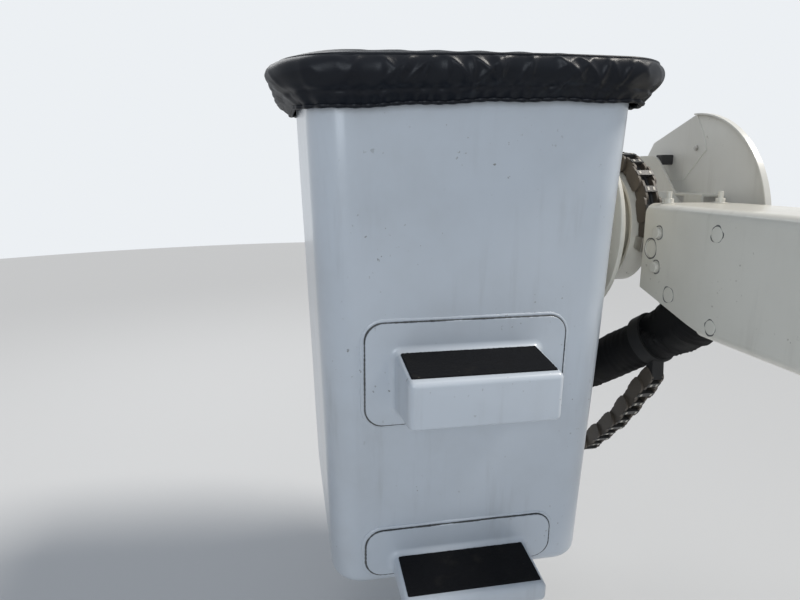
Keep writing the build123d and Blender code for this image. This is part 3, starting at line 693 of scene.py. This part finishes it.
for name, top in STEPS:
    # A thin dark bead lines the corner at the flange's edge.
    dark = bead(flange_line(top, 0.0008), 0.0008, 0.0014, 0.0040, 11)
    pale = bead(flange_line(top, 0.0042), -0.0004, 0.0036, 0.0024, 12)
    piece("flange_dark_bead_" + name, [hoop_grid(dark)], DARK_BEAD_AND_GAP_SHADE, "bucket", "rubber", sharp=80)
    piece("sealer_pale_" + name, [hoop_grid(pale)], PAINTED_SHADE_GELCOAT, "bucket", "bucket_gelcoat", sharp=80)

# %% [markdown]
# ## The treads
# Sand is strewn on wet resin to make the steps safe. The layer has round corners and is rough to the touch, so
# each point of a fine grid gets its own height.

# %% Treads
TREAD_W, TREAD_NEAR, TREAD_FAR, TREAD_T = 0.288, 0.014, 0.127, 0.003
TREAD_R, TREAD_CELL = 0.004, 0.0022
TREAD_EDGE, TREAD_SUNK, GRIT_H = 0.003, 0.0012, 0.0009


def soft_corners(u, v, hu, hv, r):
    """Draws a rectangle's corners in to quarter circles of radius r."""
    cu, cv = np.clip(u, r - hu, hu - r), np.clip(v, r - hv, hv - r)
    du, dv = u - cu, v - cv
    length = np.hypot(du, dv)
    keep = np.where(length > 0, np.maximum(abs(du), abs(dv)) / np.maximum(length, 1e-9), 1)
    return cu + du * keep, cv + dv * keep


def tread_form(top, seed):
    """A grid of points on the step's top, each with its own grain of sand, and one face under it all."""
    hu, hv = TREAD_W / 2, (TREAD_FAR - TREAD_NEAR) / 2
    nu, nv = round(2 * hu / TREAD_CELL), round(2 * hv / TREAD_CELL)
    u, v = np.meshgrid(np.linspace(-hu, hu, nu), np.linspace(-hv, hv, nv), indexing="ij")
    edge = np.minimum(hu - abs(u), hv - abs(v))
    u, v = soft_corners(u, v, hu, hv, TREAD_R)
    grit = np.random.default_rng(seed).uniform(0, 1, u.shape) ** 2 * GRIT_H
    rise = TREAD_T * np.clip(edge / TREAD_EDGE, 0, 1) ** 0.5 - TREAD_SUNK * (edge <= 0) + grit * (edge > 0)
    out = TREAD_NEAR + hv + v
    points = on_front(u, top - STEP_FALL * out / STEP_OUT + rise, out)
    faces = quads(nu, nv, wrap=False)
    rim = list(range(nv)) + [i * nv + nv - 1 for i in range(1, nu)]
    rim += [(nu - 1) * nv + j for j in range(nv - 2, -1, -1)] + [i * nv for i in range(nu - 2, 0, -1)]
    return points.reshape(-1, 3), faces + [rim]


for seed, (name, top) in enumerate(STEPS, start=5):
    piece("tread_form_" + name, [tread_form(top, seed)], GRIT, "bucket", "grit", "tread_" + name)

# %% [markdown]
# ## The cover
# A soft cap of black vinyl keeps rain out. Its top panel is drawn tight over the rim and a skirt hangs from a
# piped seam, bulges, and is gathered by a hidden cord at the hem. Cloth simulation would need the elastic's
# force as well, so the form is written down instead: rows run from the crown's middle to the hem, and columns
# run round the rim.

# %% Cover outline
COVER_COLUMNS = (40, 150)
CROWN_Z = 0.426
SEAM_Z, SEAM_DROP = 0.412, 0.012
SEAM_OUT, SEAM_ASIDE, SEAM_BEHIND = 0.057, 0.013, 0.008
HEM_Z, HEM_DROP, HEM_RISE, HEM_BACK = 0.342, 0.022, 0.014, 0.018
HEM_OUT, HEM_TIGHT = 0.0205, 0.006
BULGE, BULGE_LEFT, BULGE_BEHIND = 0.010, 0.014, 0.6


def smooth(x):
    """A smooth step: 0 up to 0, 1 from 1 on."""
    x = np.clip(x, 0, 1)
    return x * x * (3 - 2 * x)


def hump(x, at, width):
    """A bell curve of height 1."""
    return np.exp(-(((x - at) / width) ** 2))


rim_line = rounded_ring(TOP[0], TOP[1], TOP[2], *COVER_COLUMNS)[0]
rim_normal = outward(rim_line)
rim_way = np.concatenate([[0], np.cumsum(np.linalg.norm(np.diff(rim_line, axis=0), axis=1))])
rim_length = rim_way[-1] + np.linalg.norm(rim_line[0] - rim_line[-1])
rim_line = rim_line + BUCKET_AT
on_left, on_right = np.maximum(rim_normal[:, 1], 0), np.maximum(-rim_normal[:, 1], 0)
leaning = smooth((rim_line[:, 1] - 0.45) / 0.55)
from_front = rim_line[:, 0] - (BUCKET_AT[0] - TOP[0])
behind = np.clip(from_front / (2 * TOP[0]), 0, 1)
seam_out = SEAM_OUT - SEAM_ASIDE * (on_left + on_right) - SEAM_BEHIND * on_left * behind
seam_z = SEAM_Z - SEAM_DROP * leaning * (1 - behind)
bulge = BULGE + BULGE_LEFT * on_left * (1 - BULGE_BEHIND * behind)
steep = 0.75 - 0.1 * on_left
hem_out = HEM_OUT - HEM_TIGHT * on_left
rise = HEM_RISE * smooth(from_front / 0.18) + HEM_BACK * from_front
hem_z = HEM_Z + leaning * (rise - HEM_DROP * (1 - behind))
print("rim", round(rim_length, 3), "m, columns", len(rim_line))


def round_wave(way, length, seed, shake=0.35):
    """A sine along the closed rim: a whole number of waves about that long, each a little early or late."""
    turns = round(rim_length / length)
    rng = np.random.default_rng(seed)
    phase = 2 * np.pi * turns * way / rim_length
    for k in range(1, 6):
        push = shake * turns / 12 * rng.uniform(-1, 1)
        phase = phase + push * np.sin(2 * np.pi * k * way / rim_length + rng.uniform(0, 6.3)) / k
    return np.sin(phase)


# %% [markdown]
# Tight cloth folds in sharp straight creases that spring in fans from points on the seam. A sum of sines looks
# like waves on water, so each crease is a line of its own on the unrolled skirt, sharp at its crest.

# %% Cover creases
SKIRT_ROWS, CROWN_ROWS = 40, 20
CREASE_FANS, FAN_CREASES = 72, 2
SKIRT_DEEP = 0.105
CREASE_LEAN = 0.050
CREASE_REACH = (0.55, 1.05)
CREASE_WIDTH = (0.0030, 0.0065)


def creases(way, down, seed):
    """Sum of sharp ridges on the unrolled skirt. Each runs from a fan's foot on the seam to a point below, and
    falls off on both sides within its own width."""
    rng = np.random.default_rng(seed)
    total = np.zeros(np.broadcast(way, down).shape)
    for k in range(CREASE_FANS):
        foot = (k + rng.uniform(-0.35, 0.35)) * rim_length / CREASE_FANS
        for _ in range(FAN_CREASES):
            lean = rng.uniform(-CREASE_LEAN, CREASE_LEAN)
            reach = rng.uniform(*CREASE_REACH)
            width = rng.uniform(*CREASE_WIDTH)
            near = (way - foot + rim_length / 2) % rim_length - rim_length / 2 - lean * down / 0.6
            slope = 1 / math.hypot(1, lean / 0.6 / SKIRT_DEEP)
            length = smooth(down / 0.10) * smooth((reach - down) / 0.25)
            total += rng.uniform(0.4, 1.0) * np.exp(-abs(near * slope) / width) * length
    return np.tanh(total)


# %% [markdown]
# The skirt leaves the seam, bulges and comes in to the hem, where the cord gathers it into small puckers. The
# creases are deepest in the middle of the side that the photo shows. The crown is the seam's outline drawn in
# step by step, with a quick rise beside the seam and a slow one to the middle.

# %% Cover skirt and crown
CREASE_DEEP, CREASE_SINK = 0.0115, 0.0050
GATHER_DEEP, PUCKER_DEEP, SAG_DEEP, TUCK_DEEP = 0.0021, 0.0028, 0.0014, 0.0040
CROWN_WAVE, CROWN_RIPPLE = 0.0028, 0.0022
PIPING_R, HEM_R, HEM_SWELL = 0.0030, 0.0046, 0.0007
VINYL_T = 0.0012

down = np.linspace(0, 1, SKIRT_ROWS)[:, None]
busy = 0.30 + 0.70 * hump(rim_line[:, 1], 0.56, 0.26)
pleats = creases(rim_way[None, :], down, 21)
sag = round_wave(rim_way[None, :], 0.17, 22) * np.sin(np.pi * down)
gather = round_wave(rim_way[None, :], 0.026, 23, 0.2) * hump(down, 0.97, 0.16)
pucker = round_wave(rim_way[None, :], 0.034, 24, 0.2) * hump(down, 0.74, 0.09)
offset = hem_out + (seam_out - hem_out) * (1 - down**3.2) + bulge * np.sin(np.pi * down**steep)
offset = offset + busy * (CREASE_DEEP * pleats - CREASE_SINK) * np.sin(np.pi * down).clip(0) ** 0.5
offset = offset + GATHER_DEEP * gather + PUCKER_DEEP * pucker + SAG_DEEP * sag
offset = offset - TUCK_DEEP * hump(down, 0.75, 0.05)
skirt = np.empty(offset.shape + (3,))
skirt[..., :2] = rim_line + rim_normal * offset[..., None]
skirt[..., 2] = seam_z + (hem_z - seam_z) * (0.25 * down**2 + 0.75 * down)
skirt[..., 2] += 0.0012 * round_wave(rim_way, 0.15, 25) * down

inward = np.linspace(1, 0, CROWN_ROWS + 1)[1:-1, None] ** 1.25
crown = np.empty((CROWN_ROWS - 1, len(rim_line), 3))
crown[..., :2] = BUCKET_AT + (skirt[0, :, :2] - BUCKET_AT) * inward[..., None]
quick_rise = 0.009 + 0.008 * leaning
slow_rise = CROWN_Z - seam_z - quick_rise
crown[..., 2] = seam_z + quick_rise * (1 - inward**16) + slow_rise * (1 - inward**3)
tension = np.sin(np.pi * np.clip((1 - inward) / 0.5, 0, 1)) * busy
crown[..., 2] += CROWN_WAVE * tension * round_wave(rim_way + 0.05 * inward, 0.085, 26)
crown[..., 2] += CROWN_RIPPLE * ripple(crown[..., 0], crown[..., 1], 8, 9, 0.42) * (1 - inward**3)
rows = np.concatenate([crown[::-1], skirt])
middle = np.append(BUCKET_AT, crown[-1, :, 2].mean())
cover_points = np.concatenate([rows.reshape(-1, 3), middle[None]])
count = len(rim_line)
cover_faces = quads(len(rows), count) + [[(j + 1) % count, j, len(cover_points) - 1] for j in range(count)]
cover = make_mesh("cover_sheet", [(cover_points, cover_faces)], VINYL, recalc=False)
thick = cover.modifiers.new("thickness", "SOLIDIFY")
thick.thickness = VINYL_T
settle(cover, "cover", "vinyl", "bucket_cover")

# %% [markdown]
# The piping on the seam and the hem's cord tunnel are round tubes along the skirt's first and last row. The
# hem's swells with the gathers.


# %% Piping and hem
def cord_round(line, radius):
    """A tube of eight sides along a closed line of points, with its own radius at each point."""
    way = unit(np.roll(line, -1, 0) - np.roll(line, 1, 0))
    side = unit(np.cross(way, [0.0, 0.0, 1.0]))
    top = np.cross(side, way)
    a = np.radians(np.arange(0, 360, 45))
    radius = np.broadcast_to(radius, len(line))[:, None, None]
    spoke = side[:, None] * np.cos(a)[None, :, None] + top[:, None] * np.sin(a)[None, :, None]
    return line[:, None] + radius * spoke


piece("cover_piping", [hoop_grid(cord_round(skirt[0], PIPING_R))], VINYL, "cover", "vinyl")
hem_radius = HEM_R + HEM_SWELL * gather[-1]
piece("cover_hem", [hoop_grid(cord_round(skirt[-1], hem_radius))], VINYL, "cover", "vinyl")

# %% [markdown]
# ## Routes
# The hose sleeve and the energy chain follow routes of straight runs and arcs, with the corner points of the
# CAD model. A route is cut into even steps, and each step has a forward direction.


# %% Routes
ARC_POINTS = 40


def route(corners, radii, step):
    """Straight runs joined by arcs of the given radii, cut into even steps: points, directions and length."""
    corners = np.asarray(corners, float)
    pieces = [corners[:1]]
    for k in range(1, len(corners) - 1):
        back, on = corners[k - 1] - corners[k], corners[k + 1] - corners[k]
        back, on = back / np.linalg.norm(back), on / np.linalg.norm(on)
        half = math.acos(float(np.clip(back @ on, -1, 1))) / 2
        bisector = (back + on) / np.linalg.norm(back + on)
        centre = corners[k] + bisector * radii[k - 1] / math.sin(half)
        first = corners[k] + back * radii[k - 1] / math.tan(half) - centre
        last = corners[k] + on * radii[k - 1] / math.tan(half) - centre
        turn = math.pi - 2 * half
        t = np.linspace(0, 1, ARC_POINTS)[:, None]
        arc_points = (np.sin((1 - t) * turn) * first + np.sin(t * turn) * last) / math.sin(turn)
        pieces.append(centre + arc_points)
    pieces.append(corners[-1:])
    rough = np.concatenate(pieces)
    way = np.concatenate([[0], np.cumsum(np.linalg.norm(np.diff(rough, axis=0), axis=1))])
    even = np.linspace(0, way[-1], round(way[-1] / step) + 1)
    points = np.stack([np.interp(even, way, rough[:, k]) for k in range(3)], 1)
    return points, unit(np.gradient(points, axis=0)), way[-1]


def frames(ahead, start):
    """Two directions square to the route at each point, carried along it without twisting."""
    side = np.cross(ahead[0], start)
    sides = [side / np.linalg.norm(side)]
    for d in ahead[1:]:
        side = sides[-1] - d * (sides[-1] @ d)
        sides.append(side / np.linalg.norm(side))
    sides = np.array(sides)
    return sides, np.cross(sides, ahead)


# %% [markdown]
# ## The hose sleeve
# The hoses to the bucket's controls run in a soft fabric boot that fills the boom's lower mouth. Folds run
# round it, deepest where it squeezes out of the boom and in its bends.

# %% Hose sleeve
SLEEVE_D = 0.116
SLEEVE_STEP = 0.004
SLEEVE = [
    (0.010, 0.048, -0.0677),
    (0.600, 0.048, -0.0677),
    (0.715, 0.050, -0.1527),
    (1.040, 0.1875, -0.3937),
    (1.299, 0.1875, -0.2727),
    (1.299, 0.1875, 0.130),
]
SLEEVE_BENDS = [0.100, 0.250, 0.225, 0.228]
MOUTH_AT, MOUTH_LONG, MOUTH_SWELL = 0.700, 0.065, 0.0105
FREE_FROM, FREE_OVER = 0.56, 0.05
FOLD_PITCH = 0.027
FOLD_DEEP, FOLD_MOUTH, FOLD_BEND = 0.0008, 0.0017, 0.00030
BOOM_END, BOOM_INSIDE, BOOM_UNDER = 0.785, 0.1095, -0.18

sleeve_points, sleeve_ahead, sleeve_length = route(SLEEVE, SLEEVE_BENDS, SLEEVE_STEP)
sleeve_side, sleeve_top = frames(sleeve_ahead, (0.0, 0.0, 1.0))
sleeve_way = np.linspace(0, sleeve_length, len(sleeve_points))
spin = np.radians(np.arange(0, 360, 7.5))
mouth = hump(sleeve_way, MOUTH_AT, MOUTH_LONG)[:, None]
bent = np.linalg.norm(np.gradient(sleeve_ahead, sleeve_way, axis=0), axis=1)[:, None]
creep = ripple(sleeve_way[:, None] * 3, np.cos(spin)[None] * 0.15, 31, 7, 0.5)
turns = np.pi * sleeve_way[:, None] / FOLD_PITCH + 1.9 * creep + 0.5 * np.sin(spin + 1.0)
folds = 1 - 2 * abs(np.sin(turns)) ** 0.7
depth = FOLD_DEEP + FOLD_MOUTH * mouth + FOLD_BEND * bent
radius = SLEEVE_D / 2 - 0.0010 + depth * folds + MOUTH_SWELL * mouth + 0.0012 * creep
free = smooth((sleeve_way - FREE_FROM) / FREE_OVER)[:, None]
radius = np.where(free > 0, radius, np.minimum(radius, SLEEVE_D / 2 - 0.0004))[..., None]
spoke = sleeve_side[:, None] * np.cos(spin)[None, :, None] + sleeve_top[:, None] * np.sin(spin)[None, :, None]
sleeve = sleeve_points[:, None] + radius * spoke
in_boom = (sleeve[..., 0] < BOOM_END) & (sleeve[..., 2] > BOOM_UNDER)
sleeve[..., 1] = np.where(in_boom, np.clip(sleeve[..., 1], -BOOM_INSIDE, BOOM_INSIDE), sleeve[..., 1])
boot = make_mesh("sleeve_form", [tube_grid(sleeve)], SLEEVE_CLOTH, sharp=60)
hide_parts("hose_sleeve")
print("sleeve", round(sleeve_length, 4), "m", len(boot.data.polygons), "faces")

# %% [markdown]
# ## The energy chain
# Flat plastic links hold the hoses between the boom and the swinging bucket. Each link has two side plates and
# two cross bars with small clips, whose pale colour is painted highlight, and every second link sits between
# its neighbours' plates.

# %% Chain
CHAIN_Y0, CHAIN_W, CHAIN_H = 0.062, 0.046, 0.044
LINK_PITCH, LINK_LAP, LINK_T, LINK_LOW, LINK_R = 0.046, 0.009, 0.006, 0.002, 0.0135
LINK_GAP = 0.0003
BAR_W, BAR_T, BAR_IN = 0.016, 0.008, 0.001
CLIP_W, CLIP_L, CLIP_UP, CLIP_DOWN = 0.009, 0.005, 0.0008, 0.004


def prism(outline, y0, y1):
    """A flat outline of points (along, up), made thick across the chain."""
    n = len(outline)
    points = [np.stack([outline[:, 0], outline[:, 1], np.full(n, y)], 1) for y in (y0, y1)]
    faces = [list(range(n)), list(range(n, 2 * n))[::-1]]
    faces += [[i, (i + 1) % n, n + (i + 1) % n, n + i] for i in range(n)]
    return np.concatenate(points), faces


def place_link(points, spot):
    """From the link's own along, up and across to x, y and z. spot is x, z and heading."""
    x, z, heading = spot
    c, s = math.cos(heading), math.sin(heading)
    along, up, across = points.T
    return np.stack([x + along * c - up * s, across, z + along * s + up * c], 1)


def bar_outline(width, up0, up1):
    """A rectangle of that width, between two heights."""
    low, high = sorted((up0, up1))
    return np.array([(-width / 2, low), (width / 2, low), (width / 2, high), (-width / 2, high)])


plate_outline = rounded_ring(LINK_PITCH / 2 + LINK_LAP, CHAIN_H / 2 - LINK_LOW, LINK_R, corner=4, side=2)[0]


def chain_parts(spots):
    """Side plates, cross bars and clips of a run of links, the clips pale as painted highlight. Every second
    link is narrower by two plates.
    """
    plates, bars, clips = [], [], []
    for k, spot in enumerate(spots):
        inset = LINK_T * (k % 2)
        near, far = CHAIN_Y0 + inset, CHAIN_Y0 + CHAIN_W - inset
        for y0, y1 in ((near, near + LINK_T - LINK_GAP), (far - LINK_T + LINK_GAP, far)):
            points, faces = prism(plate_outline, y0, y1)
            plates.append((place_link(points, spot), faces))
        for side in (-1, 1):
            edge = side * CHAIN_H / 2
            points, faces = prism(bar_outline(BAR_W, edge, edge - side * BAR_T), near + BAR_IN, far - BAR_IN)
            bars.append((place_link(points, spot), faces))
            # The clips stand out pale at the bars' edges as painted highlight.
            clip = bar_outline(CLIP_W, edge + side * CLIP_UP, edge - side * CLIP_DOWN)
            for y in (near + LINK_T + BAR_IN, far - LINK_T - BAR_IN - CLIP_L):
                points, faces = prism(clip, y, y + CLIP_L)
                clips.append((place_link(points, spot), faces))
    return plates, bars, clips


# %% [markdown]
# One run of links lies on the drum and turns with the bucket. The other hangs between the drum's edge and the
# sleeve's clamp, and is baked in place, on no body.

# %% Chain runs
HUB = np.array([0.990, 0.066])
WRAP_R, WRAP_START, WRAP_END = 0.1723, 8.0, 185.0
LOOP = [(1.1606, 0.0900), (1.2477, -0.5299), (1.100, -0.660), (0.883, -0.452), (0.745, -0.279)]
LOOP_BENDS = [0.160, 0.115, 0.400]
LOOP_STEP = 0.001

wrap_count = round(math.radians(WRAP_END - WRAP_START) * WRAP_R / LINK_PITCH)
wrap_angle = np.radians(WRAP_START + (np.arange(wrap_count) + 0.5) * (WRAP_END - WRAP_START) / wrap_count)
wrap_x, wrap_z = HUB[0] + WRAP_R * np.cos(wrap_angle), HUB[1] + WRAP_R * np.sin(wrap_angle)
wrap_spots = list(zip(wrap_x, wrap_z, wrap_angle + math.pi / 2))
loop_points, loop_ahead, loop_length = route([(x, 0.0, z) for x, z in LOOP], LOOP_BENDS, LOOP_STEP)
loop_count = round(loop_length / LINK_PITCH)
picked = ((np.arange(loop_count) + 0.5) / loop_count * (len(loop_points) - 1)).round().astype(int)
loop_heading = np.arctan2(loop_ahead[picked, 2], loop_ahead[picked, 0])
loop_spots = list(zip(loop_points[picked, 0], loop_points[picked, 2], loop_heading))


def chain_pieces(prefix, spots, node_name, fix):
    """Plates, bars and clips of a run as three pieces, the clips pale as painted highlight. The plates stand
    for the CAD node.
    """
    named = zip(("plates", "bars", "clips"), chain_parts(spots), (CHAIN_PLASTIC, CHAIN_BAR, CLIP_PAINTED_HIGHLIGHT))
    for label, parts, material in named:
        obj = make_mesh(prefix + "_" + label, parts, material, sharp=40, weld=0)
        if label == "plates":
            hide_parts(node_name)
        fix(obj)
        print(obj.name, len(obj.data.polygons), "faces")


chain_pieces("wrap", wrap_spots, "chain_wrap", lambda obj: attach(obj, "bucket"))
chain_pieces("loop", loop_spots, "chain_loop", lambda obj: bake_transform(obj))

# %% [markdown]
# Three round hoses lie side by side inside the chain, on the same arc and the same route.

# %% Hoses in the chain
HOSE_R, HOSE_APART = 0.0055, 0.0105
HOSE_Y = CHAIN_Y0 + CHAIN_W / 2 + np.array([-HOSE_APART, 0.0, HOSE_APART])


def hose(points, ahead, y):
    """A round hose along a route in the plane of x and z, at one y."""
    across = np.array([0.0, 1.0, 0.0])
    rise = np.cross(ahead, across)
    a = np.radians(np.arange(0, 360, 36))
    line = points + across * y
    ring = across * np.cos(a)[None, :, None] + rise[:, None] * np.sin(a)[None, :, None]
    return tube_grid(line[:, None] + HOSE_R * ring)


def hoses(name, points, ahead):
    """The three hoses of a run, as one piece."""
    return make_mesh(name, [hose(points, ahead, y) for y in HOSE_Y], RUBBER, sharp=60)


turn = np.radians(np.linspace(WRAP_START, WRAP_END, 70))
wrap_line = np.stack([HUB[0] + WRAP_R * np.cos(turn), 0 * turn, HUB[1] + WRAP_R * np.sin(turn)], 1)
wrap_ahead = np.stack([-np.sin(turn), 0 * turn, np.cos(turn)], 1)
settle(hoses("wrap_hoses", wrap_line, wrap_ahead), "bucket", "rubber")
loop_hoses = hoses("loop_hoses", loop_points[::12], loop_ahead[::12])
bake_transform(loop_hoses)

# %% [markdown]
# ## Small things on the boom
# Old holes in the boom's side are filled with round plugs that stand a hair proud. A dark crescent of painted
# shade lies in the gap round each plug and each pin. A small bolt holds the guard's seam.

# %% Plugs and bolt
BOOM_SIDE = 0.120
PLUG_RISE = 0.0009
PLUGS = [(0.535, 0.086, 0.016), (0.671, -0.065, 0.0175), (0.525, -0.104, 0.015)]
FIXINGS = [(0.754, 0.031, 0.0222), (0.727, 0.071, 0.0138), (0.727, -0.009, 0.0138)]
GUARD_BOLT, GUARD_SKIN = (0.979, 0.272), 0.006
BOLT_R, BOLT_H = 0.008, 0.005
GAP_W, GAP_RANGE = 0.0009, (0.0001, 0.0022)
GAP_UP, GAP_H = -0.0003, 0.0006


def button(x, z, y, r, rise, sides=32):
    """A low round cap with a soft edge, on a wall square to Y."""
    a = np.radians(np.linspace(0, 360, sides, endpoint=False))
    size = np.array([1.0, 1.0, 0.97, 0.90, 0.55])[:, None] * r
    high = np.array([-0.001, 0.45, 0.85, 1.0, 1.05])[:, None] * rise
    out = y + np.broadcast_to(high, (5, sides))
    return tube_grid(np.stack([x + size * np.cos(a), out, z + size * np.sin(a)], -1))


def gap_shade_line(x, z, y, r, seed):
    """A crescent of painted shade round a plug or pin: a thin flat ring whose width comes and goes."""
    a = np.radians(np.arange(0, 360, 5))[:, None]
    width = GAP_W * (1.1 + ripple(np.cos(a), np.sin(a), seed, 5, 1.6))
    spin = np.radians(np.arange(0, 360, 45))
    around = r + np.clip(width, *GAP_RANGE) * (1 + np.cos(spin))
    high = np.broadcast_to(y + GAP_UP + GAP_H * np.sin(spin), around.shape)
    return hoop_grid(np.stack([x + around * np.cos(a), high, z + around * np.sin(a)], -1))


plugs = [button(x, z, BOOM_SIDE, r, PLUG_RISE) for x, z, r in PLUGS]
piece("boom_plugs", plugs, BOOM_COAT, "boom_tip", "boom_gelcoat", sharp=50)
# Dark rings of painted shade lie in the gaps round the plugs and the pins.
gap_shades = [gap_shade_line(x, z, BOOM_SIDE, r, 40 + k) for k, (x, z, r) in enumerate(PLUGS)]
gap_shades += [gap_shade_line(x, z, BOOM_SIDE, r, 47) for x, z, r in FIXINGS]
piece("boom_gap_shade", gap_shades, DARK_BEAD_AND_GAP_SHADE, "boom_tip", "boom_gelcoat", sharp=80)
guard_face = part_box("guard_shell")[0][1] + GUARD_SKIN
bolt = button(*GUARD_BOLT, guard_face, BOLT_R, BOLT_H, sides=6)
piece("guard_bolt", [bolt], STEEL, "boom_tip", "steel", sharp=30)

# %% [markdown]
# ## Floor
# A wide pale disc under the piece shows the light. It isn't part of the object.

# %% Floor
FLOOR_AT, FLOOR_R = (0.9, 0.4, -1.0), 9.0
FLOOR_COLOR, FLOOR_ROUGH = (0.54, 0.55, 0.56, 1), 0.85

turn = np.radians(np.arange(0, 360, 3))
disc = np.array(FLOOR_AT) + FLOOR_R * np.stack([np.cos(turn), np.sin(turn), 0 * turn], 1)
pale = bpy.data.materials.new("floor")
pale.use_nodes = True
set_inputs(pale.node_tree.nodes["Principled BSDF"], Base_Color=FLOOR_COLOR, Roughness=FLOOR_ROUGH)
floor = make_mesh("floor", [(disc, [list(range(len(turn)))])], pale, recalc=False)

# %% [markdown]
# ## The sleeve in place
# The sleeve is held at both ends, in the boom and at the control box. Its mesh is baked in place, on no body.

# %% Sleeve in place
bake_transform(boot)
